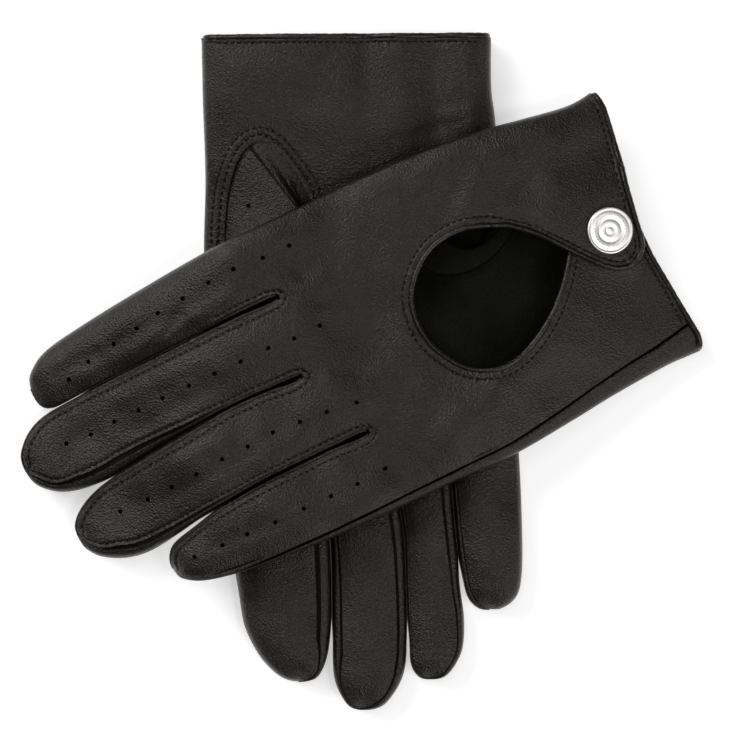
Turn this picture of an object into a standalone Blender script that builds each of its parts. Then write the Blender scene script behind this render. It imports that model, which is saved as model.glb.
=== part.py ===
"""A pair of unlined leather driving gloves, crossed as laid on a table.

The right glove lies palm up underneath and the left glove lies back up across it. Every piece is
drawn in its glove's own flat frame, in millimetres: x towards the thumb, y towards the fingertips
and w out of the back of the hand. Glove.place() carries such a point to the table, in metres.
"""

import math

import bmesh
import bpy
from mathutils import Matrix, Vector
from mathutils.geometry import delaunay_2d_cdt

MM = 0.001
LEATHER = 1.0               # thickness of the hide
GAP = 0.3                   # left between pieces that touch
CUFF_DEPTH = 10.5           # outside depth of the mouth, which gapes a little
HAND_DEPTH = 8.0            # outside depth of the flat hand
CUFF_END = 55.0             # the mouth's gape has closed to the hand's depth at this y
FINGER_DEPTH = 11.0         # outside depth of a finger, held open by its fourchettes
HAND_END, FINGER_START = 95.0, 130.0    # between these y the depth grows from one to the other
EDGE_HEIGHT = 1.35          # half depth at the fold and at the side seam
EDGE_ROUND = 9.0            # how far in from the edge the hand reaches its full depth
SIDE_SHARE = 0.72           # a finger's half depth at its fourchettes, as a share of the middle
SIDE_ROUND = 7.0            # how far in from a fourchette the finger reaches its full depth
FINGER_SLIT = 1.2           # clear width between neighbouring fingers
FINGER_CUT = 0.5            # clear length between a fingertip piece and the hand
BINDING_RADIUS = 1.0
BOUND_EDGE = 2 * BINDING_RADIUS + GAP       # how far the panels stand back from a bound edge
TIP_RUN = 12.0              # length over which a finger narrows to its rounded tip
TURN_SHARE = 0.32           # share of a fingertip's sheet that folds over the tip
OUTER_DROP = 0.74           # fall of a finger's outside at the fold and at the side seam, as a share
FOURCHETTE_INSET = 0.5      # its outside from the finger's side
FOURCHETTE_MARGIN = 1.9     # its edges from the outsides of back and palm
FORK_CLEAR, TIP_CLEAR = 4.0, 9.0    # the fourchettes' ends from the fork and from the finger's tip
PIVOT_OVER = 0.25           # a bend's axis over the outside of the hide that creases
SLIVER = 0.05               # a triangle of a pattern piece thinner than this is left out, in square mm
PANEL_SPACING, TAB_SPACING = 13.0, 7.0      # between the points that a pattern piece bends by

TAB_HINGE_X = 20.15         # the line where the snap tab bends, from the cuff to the keyhole
TAB_HINGE_TOP = 47.6
TAB_LIFT = 3.5              # outside of the tab above the outside of the flap it closes on
TAB_RISE = 7.0              # run from the hinge line over which it climbs there
SNAP = (3.0, 14.5)          # centre of the press stud
CAP_RADIUS, CAP_DEPTH = 7.6, 1.5
SOCKET_RADIUS, SOCKET_BORE, SOCKET_DEPTH = 5.5, 2.7, 1.2
STUD_BASE_RADIUS, STUD_BASE_DEPTH = 4.5, 0.5
STUD_RADIUS, STUD_TOP = 2.3, 2.2
POST_RADIUS, POST_HOLE = 1.3, 1.7

THUMB_DEPTH = 7.0
THUMB_HALF_WIDTH = 12.5
THUMB_LEAN = 3.0            # how far its tip leans away from the fold
THUMB_SPOT = (26.0, 50.0)   # centre of the hole in the palm
THUMB_HOLE = (14.0, 17.0)   # its half width and half length
HOLE_SEAM = 0.8             # from the hole's edge to the edge of the thumb set into it
THUMB_ROOT = 72.0           # where it has its own full section
THUMB_TIPS = {"left": 103.0, "right": 110.0}
THUMB_SEATED = 0.4          # share of its sheet between the hole and that section
TABLE_GAP = 0.6             # clearance of the right glove's hide over the table, for its bindings
SNAP_NEAR, SNAP_FAR = 12.0, 70.0        # the right glove stands on its snap here and lies flat beyond
DRAPE_FOOT, DRAPE_RISE = 0.7, 15.9      # the left glove's underside, on the table and on the right glove
DRAPE_LEFT, DRAPE_LEFT_RUN = -38.4, 62.0         # its fall to the table at the fingers, along the table's x
DRAPE_RIGHT, DRAPE_RIGHT_RUN = 35.6, 72.0        # its straighter fall to the table at the cuff
DRAPE_EASE = 0.2                                 # share of that fall that rounds over the right glove's edge

# The keyhole opening's edge, from the tab hinge round the top and down to the flap's end.
KEYHOLE = [(20.4, 47.8), (22.0, 52.0), (23.3, 58.0), (23.0, 65.0), (21.0, 70.5), (17.5, 75.5), (12.5, 80.0),
           (6.5, 82.6), (0.0, 83.2), (-6.0, 82.2), (-12.0, 79.5), (-17.5, 75.5), (-21.2, 70.5), (-23.0, 64.5),
           (-22.6, 58.5), (-20.5, 52.5), (-17.5, 47.0), (-13.5, 41.3), (-9.0, 36.5), (-4.0, 32.2), (1.5, 28.2),
           (6.5, 23.8), (10.5, 18.5), (12.0, 12.0)]
TAB_EDGE = [(19.3, 46.2), (16.5, 42.2), (12.5, 37.7), (8.0, 33.5), (2.5, 29.0), (-2.5, 25.0), (-7.0, 21.0),
            (-9.9, 17.3), (-11.2, 13.5), (-10.6, 9.8), (-8.4, 6.8), (-4.8, 5.0), (0.0, 4.2), (6.0, 3.3),
            (12.0, 2.2), (19.3, 0.6)]


def smooth(low, high, value):
    """0 below low, 1 above high and an S curve between them."""
    t = min(max((value - low) / (high - low), 0.0), 1.0)
    return t * t * (3.0 - 2.0 * t)


def eased_ramp(t, ease):
    """0 to 1 in a straight line, after a round start over a share of the way."""
    t = min(max(t, 0.0), 1.0)
    way = t * t / (2.0 * ease) if t < ease else t - ease / 2.0
    return way / (1.0 - ease / 2.0)


def along(points, value):
    """The second coordinate on a chain of (value, other) points, straight between them."""
    if value <= points[0][0]:
        return points[0][1]
    for (a, low), (b, high) in zip(points, points[1:]):
        if value <= b:
            return low + (high - low) * (value - a) / (b - a)
    return points[-1][1]


def rise(distance, reach):
    """A quarter round: 0 at an edge and 1 from reach inwards."""
    t = 1.0 - min(max(distance, 0.0), reach) / reach
    return math.sqrt(1.0 - t * t)


def smooth_chain(points, step):
    """Points about step apart on a Catmull-Rom curve through the given ones."""
    out = []
    padded = [points[0], *points, points[-1]]
    for a, b, c, d in zip(padded, padded[1:], padded[2:], padded[3:]):
        count = max(1, round(math.dist(b, c) / step))
        for i in range(count):
            t = i / count
            out.append(tuple(
                0.5 * (2 * q + (r - p) * t + (2 * p - 5 * q + 4 * r - s) * t * t
                       + (3 * q - p - 3 * r + s) * t ** 3)
                for p, q, r, s in zip(a, b, c, d)))
    out.append(tuple(points[-1]))
    return out


def offset_chain(points, distance):
    """The chain moved sideways, to the left of its direction of travel."""
    out = []
    for i, here in enumerate(points):
        before = Vector(points[max(i - 1, 0)])
        after = Vector(points[min(i + 1, len(points) - 1)])
        run = (after - before).normalized()
        out.append((here[0] - run.y * distance, here[1] + run.x * distance))
    return out


class Finger:
    """One finger between two boundary lines, with the y of its bend and of its tip."""

    def __init__(self, name, bend, tip):
        self.name, self.bend, self.tip = name, bend, tip


class Glove:
    """One glove: its outline in its own frame, and how it lies on the table."""

    def __init__(self, name, origin, angle, back_up, fold, seam, forks, gaps, cuff_back, cuff_palm, fingers):
        self.name, self.origin, self.back_up = name, origin, back_up
        self.fold, self.seam = fold, seam
        self.forks, self.gaps = forks, gaps
        self.cuff_back, self.cuff_palm = cuff_back, cuff_palm
        self.fingers = fingers
        turn = math.radians(angle)
        self.ey = Vector((math.cos(turn), math.sin(turn)))
        self.ex = Vector((self.ey.y, -self.ey.x))

    def depth(self, y):
        gape = (CUFF_DEPTH - HAND_DEPTH) * (1.0 - smooth(0.0, CUFF_END, y))
        return HAND_DEPTH + gape + (FINGER_DEPTH - HAND_DEPTH) * smooth(HAND_END, FINGER_START, y)

    def sides(self, index, y):
        """The x range of finger 0 (index) to 3 (little) at y, without its rounded tip."""
        high = along(self.fold, y) if index == 0 else along(self.gaps[index - 1], y) - FINGER_SLIT / 2
        low = along(self.seam, y) if index == 3 else along(self.gaps[index], y) + FINGER_SLIT / 2
        return low, high

    def half(self, x, y):
        """Height of the hide's outside over the middle of the glove, the same on back and palm."""
        top = self.depth(y) / 2
        edge = min(along(self.fold, y) - x, x - along(self.seam, y))
        height = EDGE_HEIGHT + (top - EDGE_HEIGHT) * rise(edge, EDGE_ROUND)
        for (_, fork), gap in zip(self.forks, self.gaps):
            drop = (1.0 - SIDE_SHARE) * smooth(fork - 4.0, fork + 10.0, y)
            reach = abs(x - along(gap, y)) - FINGER_SLIT / 2
            height = min(height, top * (1.0 - drop * (1.0 - rise(reach, SIDE_ROUND))))
        return height

    def plan(self, x, y):
        return self.origin[0] + x * self.ex.x + y * self.ey.x, self.origin[1] + x * self.ex.y + y * self.ey.y

    def place(self, x, y, w):
        """A point of the glove's own frame on the table, in metres."""
        px, py = self.plan(x, y)
        if self.back_up:
            over = smooth(DRAPE_LEFT - DRAPE_LEFT_RUN, DRAPE_LEFT, px)
            over *= 1.0 - eased_ramp((px - DRAPE_RIGHT) / DRAPE_RIGHT_RUN, DRAPE_EASE)
            z = DRAPE_FOOT + DRAPE_RISE * over + self.depth(y) / 2 + w
        else:
            away = math.dist((x, y), SNAP)
            lift = (TAB_LIFT + GAP + CAP_DEPTH - TABLE_GAP) * (1.0 - smooth(SNAP_NEAR, SNAP_FAR, away))
            z = TABLE_GAP + self.depth(y) / 2 + lift - w
        return Vector((px * MM, py * MM, z * MM))


LEFT = Glove(
    name="left", origin=(94.73, 49.21), angle=205.0, back_up=True,
    fold=[(-3.0, 46.6), (5.0, 45.2), (12.0, 45.4), (25.0, 47.5), (40.0, 50.0), (60.0, 52.0), (85.0, 52.5),
          (130.0, 52.0), (157.0, 50.0), (182.0, 47.0), (210.0, 44.5)],
    seam=[(-3.0, -45.6), (15.0, -45.0), (35.0, -46.6), (50.0, -48.3), (71.0, -50.2), (110.0, -50.0),
          (150.0, -49.0), (172.0, -46.5), (190.0, -43.5)],
    forks=[(28.5, 121.0), (2.1, 125.0), (-23.5, 113.0)],
    gaps=[[(121.0, 28.5), (160.0, 27.8), (205.0, 26.3)],
          [(125.0, 2.1), (150.0, 2.6), (200.0, -2.0)],
          [(113.0, -23.5), (150.0, -24.0), (190.0, -27.2)]],
    cuff_back=[(-46.0, 2.5), (-41.0, 0.8), (-30.0, 2.0), (-10.0, 4.0), (0.0, 4.0), (10.0, 2.5), (20.0, 0.5),
               (30.0, -1.0), (40.0, -2.4), (47.0, -1.2)],
    cuff_palm=[(-46.0, 2.5), (-41.0, 1.2), (-30.0, 2.4), (-10.0, 4.4), (0.0, 4.4), (10.0, 2.9), (20.0, 0.9),
               (30.0, -0.6), (40.0, -2.0), (47.0, -1.2)],
    fingers=[Finger("index", 156.0, 206.3), Finger("middle", 162.0, 219.2),
             Finger("ring", 156.0, 212.3), Finger("little", 149.0, 188.6)])

RIGHT = Glove(
    name="right", origin=(-4.06, 107.71), angle=270.0, back_up=False,
    fold=[(-3.0, 47.5), (20.0, 47.0), (45.0, 46.2), (69.0, 46.7), (100.0, 46.0), (130.0, 43.0),
          (173.0, 36.5), (190.0, 33.5), (210.0, 31.5)],
    seam=[(-3.0, -47.0), (15.0, -47.0), (28.0, -48.5), (70.0, -52.0), (110.0, -54.5), (134.0, -56.0),
          (160.0, -57.0), (180.0, -56.5), (190.0, -56.0)],
    forks=[(19.0, 121.0), (-6.5, 125.0), (-31.0, 113.0)],
    gaps=[[(121.0, 19.0), (145.0, 9.5), (165.0, 5.2), (210.0, 5.0)],
          [(125.0, -6.5), (143.0, -14.0), (160.0, -18.6), (205.0, -19.8)],
          [(113.0, -31.0), (148.0, -34.2), (190.0, -37.8)]],
    cuff_back=[(-47.0, -2.2), (-30.0, -1.0), (-10.0, 2.0), (0.0, 3.0), (10.0, 2.5), (20.0, 0.5), (30.0, -1.0),
               (40.0, -2.0), (47.5, -2.2)],
    cuff_palm=[(-47.0, -2.6), (47.5, -1.9)],
    fingers=[Finger("index", 177.0, 208.8), Finger("middle", 166.5, 218.0),
             Finger("ring", 156.5, 207.6), Finger("little", 149.5, 185.2)])


def clear_scene():
    for old in list(bpy.data.objects):
        bpy.data.objects.remove(old, do_unlink=True)


def material(name, color, roughness, metallic=0.0):
    made = bpy.data.materials.new(name)
    made.use_nodes = True
    shader = made.node_tree.nodes["Principled BSDF"]
    shader.inputs["Base Color"].default_value = (*color, 1.0)
    shader.inputs["Roughness"].default_value = roughness
    shader.inputs["Metallic"].default_value = metallic
    return made


def add_object(name, data, finish, collection, parent=None):
    made = bpy.data.objects.new(name, data)
    data.materials.append(finish)
    collection.objects.link(made)
    if parent is not None:
        made.parent = parent
        made.matrix_parent_inverse = parent.matrix_world.inverted()
    return made


def hide_sheet(name, points, faces, away_from, finish, collection, parent=None):
    """A sheet of hide: its outside surface faces away from a point and its thickness grows inwards."""
    bm = bmesh.new()
    verts = [bm.verts.new(p) for p in points]
    for face in faces:
        bm.faces.new([verts[i] for i in face])
    bmesh.ops.remove_doubles(bm, verts=bm.verts, dist=1e-6)
    bmesh.ops.recalc_face_normals(bm, faces=bm.faces)
    bm.normal_update()
    if sum(f.normal.dot(f.calc_center_median() - away_from) * f.calc_area() for f in bm.faces) < 0.0:
        bmesh.ops.reverse_faces(bm, faces=bm.faces)
    mesh = bpy.data.meshes.new(name)
    bm.to_mesh(mesh)
    bm.free()
    made = add_object(name, mesh, finish, collection, parent)
    shell = made.modifiers.new("Hide", "SOLIDIFY")
    shell.thickness = LEATHER * MM
    shell.offset = -1.0
    return made


def grid(rows, columns, point):
    """A sheet of rows x columns quads whose corners are point(u, v), with u and v from 0 to 1."""
    points = [point(i / columns, j / rows) for j in range(rows + 1) for i in range(columns + 1)]
    across = columns + 1
    faces = [(j * across + i, j * across + i + 1, (j + 1) * across + i + 1, (j + 1) * across + i)
             for j in range(rows) for i in range(columns)]
    return points, faces


def cut_pattern(outline, holes, spacing):
    """A flat pattern piece as triangles: its outline, its holes and points inside to bend it by."""
    loops = [outline, *holes]
    points = []
    edges = []
    for loop in loops:
        first = len(points)
        points += [Vector(p) for p in loop]
        edges += [(first + i, first + (i + 1) % len(loop)) for i in range(len(loop))]
    boundary = list(points)
    low_x = min(p[0] for p in outline)
    high_x = max(p[0] for p in outline)
    low_y = min(p[1] for p in outline)
    high_y = max(p[1] for p in outline)
    for j in range(1, int((high_y - low_y) / spacing) + 1):
        for i in range(int((high_x - low_x) / spacing) + 1):
            spot = Vector((low_x + (i + 0.5 * (j % 2)) * spacing, low_y + j * spacing))
            if min((spot - b).length for b in boundary) > 0.45 * spacing:
                points.append(spot)
    verts, _, faces, *_ = delaunay_2d_cdt(points, edges, [], 0, 1e-5)
    kept = []
    for face in faces:
        a, b, c = (verts[i] for i in face)
        flat = abs((b - a).cross(c - a)) < SLIVER
        middle = (a + b + c) / 3.0
        if not flat and inside(middle, outline) and not any(inside(middle, hole) for hole in holes):
            kept.append(tuple(face))
    return verts, kept


def inside(spot, loop):
    """Is the point within the closed loop?"""
    found = False
    for (ax, ay), (bx, by) in zip(loop, loop[1:] + loop[:1]):
        if (ay > spot.y) != (by > spot.y) and spot.x < ax + (bx - ax) * (spot.y - ay) / (by - ay):
            found = not found
    return found


def finger_edges(glove, step=9.0):
    """The outline of the hand from the fold at its bends, round the forks, to the side seam."""
    chain = []
    for index, finger in enumerate(glove.fingers):
        end = finger.bend - FINGER_CUT / 2
        low, high = glove.sides(index, end)
        chain += [(high, end), (low, end)]
        if index == 3:
            break
        fork_x, fork_y = glove.forks[index]
        next_end = glove.fingers[index + 1].bend - FINGER_CUT / 2
        count = int((end - fork_y) / step)
        for i in range(1, count):
            y = end + (fork_y - end) * i / count
            chain.append((along(glove.gaps[index], y) + FINGER_SLIT / 2, y))
        chain.append((fork_x, fork_y))
        for i in range(1, count):
            y = fork_y + (next_end - fork_y) * i / count
            chain.append((along(glove.gaps[index], y) - FINGER_SLIT / 2, y))
    return chain


def side_chain(points, start, end, step=9.0):
    count = max(2, round(abs(end - start) / step))
    return [(along(points, start + (end - start) * i / count), start + (end - start) * i / count)
            for i in range(count + 1)]


def cuff_chain(glove, cuff, start, end, step=9.0):
    count = max(2, round(abs(end - start) / step))
    xs = [start + (end - start) * i / count for i in range(count + 1)]
    return [(x, along(cuff, x) + BOUND_EDGE) for x in xs]


def back_outline(glove):
    """The back: cuff, side seam, fingers, fold, cuff again, tab hinge and the keyhole's edge."""
    flap = offset_chain(smooth_chain(KEYHOLE, 7.0), -(BINDING_RADIUS + GAP))
    cuff = glove.cuff_back
    seam_x = along(glove.seam, 5.0)
    fold_x = along(glove.fold, 5.0)
    chain = cuff_chain(glove, cuff, flap[-1][0], seam_x)
    chain += side_chain(glove.seam, chain[-1][1], glove.fingers[3].bend - FINGER_CUT / 2)[1:-1]
    chain += list(reversed(finger_edges(glove)))
    right = cuff_chain(glove, cuff, fold_x, TAB_HINGE_X + FINGER_CUT / 2)
    chain += side_chain(glove.fold, glove.fingers[0].bend - FINGER_CUT / 2, right[0][1])[1:-1]
    chain += right
    top = max(flap[0][1], TAB_HINGE_TOP + 1.0)
    start = right[-1][1]
    chain += [(TAB_HINGE_X + FINGER_CUT / 2, start + (top - start) * i / 5) for i in range(1, 5)]
    return chain + flap


def thumb_hole(count=16):
    """The hole in the palm that the thumb is set into."""
    turns = [2 * math.pi * i / count for i in range(count)]
    return [(THUMB_SPOT[0] + THUMB_HOLE[0] * math.cos(a), THUMB_SPOT[1] + THUMB_HOLE[1] * math.sin(a))
            for a in turns]


def palm_outline(glove):
    seam_x = along(glove.seam, 5.0)
    fold_x = along(glove.fold, 5.0)
    chain = cuff_chain(glove, glove.cuff_palm, fold_x, seam_x)
    chain += side_chain(glove.seam, chain[-1][1], glove.fingers[3].bend - FINGER_CUT / 2)[1:-1]
    chain += list(reversed(finger_edges(glove)))
    return chain + side_chain(glove.fold, glove.fingers[0].bend - FINGER_CUT / 2, chain[0][1])[1:-1]


def panel(glove, name, outline, holes, side, finish, collection):
    verts, faces = cut_pattern(outline, holes, PANEL_SPACING)
    points = [glove.place(v.x, v.y, side * glove.half(v.x, v.y)) for v in verts]
    beyond = glove.place(0.0, 100.0, -side * 1000.0)
    return hide_sheet(f"{glove.name}_{name}", points, faces, beyond, finish, collection)


def back_panel(glove, finish, collection):
    """The back of the hand, drilled for the post of the snap stud."""
    made = panel(glove, "back_panel", back_outline(glove), [], 1.0, finish, collection)
    drill(made, glove, 0.0)
    return made


def tab_height(glove, x, y):
    """Outside of the tab: it starts level with the back and lies over the flap."""
    return glove.half(x, y) + TAB_LIFT * smooth(0.0, TAB_RISE, TAB_HINGE_X - x)


def snap_tab(glove, finish, collection, parent):
    hinge = TAB_HINGE_X - FINGER_CUT / 2
    edge = [p for p in offset_chain(smooth_chain(TAB_EDGE, 6.0), 2 * BINDING_RADIUS) if p[0] < hinge - 1.5]
    low, high = edge[-1][1] - 0.3, edge[0][1] + 2.0
    outline = edge + [(hinge, low + (high - low) * i / 5) for i in range(6)]
    verts, faces = cut_pattern(outline, [], TAB_SPACING)
    points = [glove.place(v.x, v.y, tab_height(glove, v.x, v.y)) for v in verts]
    beyond = glove.place(0.0, 20.0, -1000.0)
    made = hide_sheet(f"{glove.name}_snap_tab", points, faces, beyond, finish, collection, parent)
    drill(made, glove, TAB_LIFT)
    return made


def drill(target, glove, lift):
    """A round hole through a sheet at the snap, for the post that rivets it."""
    cutter = turned(f"{target.name}_hole", glove, [(POST_HOLE, 3.0), (POST_HOLE, -4.0)], lift, None,
                    bpy.data.collections["cutters"], steps=12)
    cutter.hide_render = True
    cutter.display_type = "WIRE"
    cut = target.modifiers.new("Post hole", "BOOLEAN")
    cut.operation = "DIFFERENCE"
    cut.solver = "EXACT"
    cut.object = cutter


def snap_frame(glove, lift):
    """The snap's place at a height over the flap, as a matrix with z out of the back of the hand."""
    x, y = SNAP
    across = (outside(glove, x + 6.0, y) - outside(glove, x - 6.0, y)).normalized()
    up_hand = outside(glove, x, y + 6.0) - outside(glove, x, y - 6.0)
    out = across.cross(up_hand).normalized() * (1.0 if glove.back_up else -1.0)
    frame = Matrix((across, out.cross(across), out)).transposed().to_4x4()
    frame.translation = outside(glove, x, y) + out * lift * MM
    return frame


def outside(glove, x, y):
    """A point on the outside of the back."""
    return glove.place(x, y, glove.half(x, y))


def turned(name, glove, profile, lift, finish, collection, parent=None, steps=24):
    """A turned piece on the snap's axis. The profile is (radius, height), outer side top to bottom."""
    mesh = bpy.data.meshes.new(name)
    bm = bmesh.new()
    verts = [bm.verts.new((r * MM, 0.0, h * MM)) for r, h in profile]
    closed = profile[0][0] < 1e-6
    ends = verts if closed else [bm.verts.new((0.0, 0.0, profile[0][1] * MM)), *verts,
                                 bm.verts.new((0.0, 0.0, profile[-1][1] * MM))]
    for a, b in zip(ends, ends[1:]):
        bm.edges.new((a, b))
    bm.to_mesh(mesh)
    bm.free()
    made = bpy.data.objects.new(name, mesh)
    if finish is not None:
        mesh.materials.append(finish)
    collection.objects.link(made)
    made.matrix_world = snap_frame(glove, lift)
    spin = made.modifiers.new("Turn", "SCREW")
    spin.steps = spin.render_steps = steps
    spin.use_merge_vertices = True
    spin.merge_threshold = 1e-6
    if parent is not None:
        made.parent = parent
        made.matrix_parent_inverse = parent.matrix_world.inverted()
    return made


def snap_parts(glove, metal, inner_metal, collection, tab):
    """Cap and socket on the tab, stud and eyelet on the flap. Heights are over the flap's outside."""
    name = glove.name
    seat = TAB_LIFT + GAP
    post_end = TAB_LIFT - LEATHER - 0.1
    top = seat + CAP_DEPTH
    cap = [(0.0, top), (CAP_RADIUS - 0.6, top), (CAP_RADIUS, top - 0.5), (CAP_RADIUS, seat),
           (POST_RADIUS, seat), (POST_RADIUS, post_end), (0.0, post_end)]
    turned(f"{name}_snap_cap", glove, cap, 0.0, metal, collection, tab, steps=32)
    top = TAB_LIFT - LEATHER - GAP
    bottom = top - SOCKET_DEPTH
    socket = [(SOCKET_BORE, top), (SOCKET_RADIUS, top), (SOCKET_RADIUS, bottom), (SOCKET_BORE, bottom),
              (SOCKET_BORE, top)]
    ring(f"{name}_snap_socket", glove, socket, inner_metal, collection, tab)
    stud = [(0.0, STUD_TOP - 0.35), (STUD_RADIUS - 0.6, STUD_TOP - 0.35), (STUD_RADIUS, STUD_TOP - 1.0),
            (STUD_RADIUS - 0.4, GAP + STUD_BASE_DEPTH), (STUD_BASE_RADIUS, GAP + STUD_BASE_DEPTH),
            (STUD_BASE_RADIUS, GAP), (0.0, GAP)]
    turned(f"{name}_snap_stud", glove, stud, 0.0, inner_metal, collection)
    under = -LEATHER - GAP
    eyelet = [(0.0, 0.0), (POST_RADIUS, 0.0), (POST_RADIUS, under), (STUD_BASE_RADIUS, under),
              (STUD_BASE_RADIUS, under - 0.6), (0.0, under - 0.6)]
    turned(f"{name}_snap_eyelet", glove, eyelet, 0.0, inner_metal, collection)


def ring(name, glove, section, finish, collection, parent, steps=24):
    """A ring on the snap's axis: a closed section turned round it."""
    frame = snap_frame(glove, 0.0)
    bm = bmesh.new()
    loops = []
    for i in range(steps):
        a = 2 * math.pi * i / steps
        loops.append([bm.verts.new(frame @ (Vector((r * math.cos(a), r * math.sin(a), h)) * MM))
                      for r, h in section[:-1]])
    for one, two in zip(loops, loops[1:] + loops[:1]):
        for k in range(len(one)):
            j = (k + 1) % len(one)
            bm.faces.new((one[k], one[j], two[j], two[k]))
    bmesh.ops.recalc_face_normals(bm, faces=bm.faces)
    mesh = bpy.data.meshes.new(name)
    bm.to_mesh(mesh)
    bm.free()
    return add_object(name, mesh, finish, collection, parent)


def tip_width(finger, y):
    """How much of its width a finger keeps at y, near its rounded tip."""
    t = min(max((y - finger.tip + TIP_RUN) / TIP_RUN, 0.0), 1.0)
    return math.sqrt(1.0 - 0.8 * t * t)


def side_drop(index, s):
    """How far a finger's outside falls towards its sides: more at the fold and at the side seam."""
    outer = (index == 0 and s > 0.0) or (index == 3 and s < 0.0)
    return 1.0 - (OUTER_DROP if outer else 1.0 - SIDE_SHARE) * abs(s) ** 3.5


def fingertip(glove, index, finish, collection, parent):
    """The end of a finger: back and palm hide in one, folded over at the tip."""
    finger = glove.fingers[index]
    start = finger.bend + FINGER_CUT / 2
    top = FINGER_DEPTH / 2

    def point(u, v):
        s = 2.0 * u - 1.0
        t = abs(2.0 * v - 1.0)
        if t < TURN_SHARE:
            swing = t / TURN_SHARE * math.pi / 2
            y = finger.tip - top * (1.0 - math.cos(swing))
            w = top * math.sin(swing)
        else:
            y = finger.tip - top + (start - finger.tip + top) * (t - TURN_SHARE) / (1.0 - TURN_SHARE)
            w = top
        low, high = glove.sides(index, y)
        x = (low + high) / 2 + s * (high - low) / 2 * tip_width(finger, y)
        return glove.place(x, y, math.copysign(w, 1.0 - 2.0 * v) * side_drop(index, s))

    points, faces = grid(16, 6, point)
    low, high = glove.sides(index, start)
    middle = glove.place((low + high) / 2, (start + finger.tip) / 2 - 8.0, 0.0)
    return hide_sheet(f"{glove.name}_{finger.name}_tip", points, faces, middle, finish, collection, parent)


def fourchette(glove, index, side, part, finish, collection, parent=None):
    """A strip of hide up the side of a finger, between the back and the palm."""
    finger = glove.fingers[index]
    fork = glove.forks[index if side < 0 else index - 1][1]
    if part == "tip":
        start, end = finger.bend + FINGER_CUT / 2, finger.tip - TIP_CLEAR
    else:
        start, end = fork + FORK_CLEAR, finger.bend - FINGER_CUT / 2

    def point(u, v):
        y = start + (end - start) * u
        low, high = glove.sides(index, y)
        reach = (high - low) / 2 * tip_width(finger, y) - FOURCHETTE_INSET
        height = glove.depth(y) / 2 * SIDE_SHARE - FOURCHETTE_MARGIN
        return glove.place((low + high) / 2 + side * reach, y, height * (2.0 * v - 1.0))

    points, faces = grid(2, 5, point)
    low, high = glove.sides(index, (start + end) / 2)
    middle = glove.place((low + high) / 2, (start + end) / 2, 0.0)
    way = "outer" if side > 0 else "inner"
    name = f"{glove.name}_{finger.name}_fourchette_{way}_{part}"
    return hide_sheet(name, points, faces, middle, finish, collection, parent)


def thumb(glove, finish, collection):
    """The thumb: a stocking set into the palm's hole, lying flat towards the fingers."""
    around, rows = 14, 9
    tip_y = THUMB_TIPS[glove.name]

    def point(u, v):
        a = 2.0 * math.pi * u
        hole_x = THUMB_SPOT[0] + (THUMB_HOLE[0] - HOLE_SEAM) * math.cos(a)
        hole_y = THUMB_SPOT[1] + (THUMB_HOLE[1] - HOLE_SEAM) * math.sin(a)
        seat = glove.half(hole_x, hole_y) + 1.3 * GAP * smooth(-0.3, 0.3, math.sin(a))
        if v < THUMB_SEATED:
            y = THUMB_ROOT
            share, size = smooth(0.0, THUMB_SEATED, v), 1.0
        else:
            swing = (v - THUMB_SEATED) / (1.0 - THUMB_SEATED) * math.pi / 2
            y = THUMB_ROOT + (tip_y - THUMB_ROOT) * math.sin(swing)
            share, size = 1.0, max(math.cos(swing), 0.0) ** 0.6
        lean = THUMB_LEAN * (y - THUMB_ROOT) / (tip_y - THUMB_ROOT)
        tube_x = THUMB_SPOT[0] - lean + THUMB_HALF_WIDTH * size * math.cos(a)
        tube_w = HAND_DEPTH / 2 + GAP + THUMB_DEPTH / 2 - THUMB_DEPTH / 2 * size * math.sin(a)
        x = hole_x + (tube_x - hole_x) * share
        run = hole_y + (y - hole_y) * share
        w = seat + (tube_w - seat) * (share if math.sin(a) > 0.0 else math.sqrt(share))
        return glove.place(x, run, -w)

    points, faces = grid(rows, around, point)
    middle = glove.place(25.0, 75.0, -(HAND_DEPTH + THUMB_DEPTH) / 2)
    return hide_sheet(f"{glove.name}_thumb", points, faces, middle, finish, collection)


def tube(name, points, finish, collection, parent=None):
    """A bound edge: a narrow strip of hide rolled over it, as a round cord."""
    curve = bpy.data.curves.new(name, "CURVE")
    curve.dimensions = "3D"
    curve.bevel_depth = BINDING_RADIUS * MM
    curve.bevel_resolution = 1
    curve.use_fill_caps = True
    spline = curve.splines.new("POLY")
    spline.points.add(len(points) - 1)
    for spot, p in zip(spline.points, points):
        spot.co = (*p, 1.0)
    return add_object(name, curve, finish, collection, parent)


def keyhole_binding(glove, finish, collection):
    edge = smooth_chain(KEYHOLE, 5.5)
    points = [glove.place(x, y, glove.half(x, y) - LEATHER / 2) for x, y in edge[1:]]
    return tube(f"{glove.name}_keyhole_binding", points, finish, collection)


def tab_binding(glove, finish, collection, parent):
    edge = offset_chain(smooth_chain(TAB_EDGE, 4.5), BINDING_RADIUS - GAP)
    points = [glove.place(x, y, tab_height(glove, x, y) - LEATHER / 2) for x, y in edge]
    return tube(f"{glove.name}_tab_binding", points, finish, collection, parent)


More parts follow.
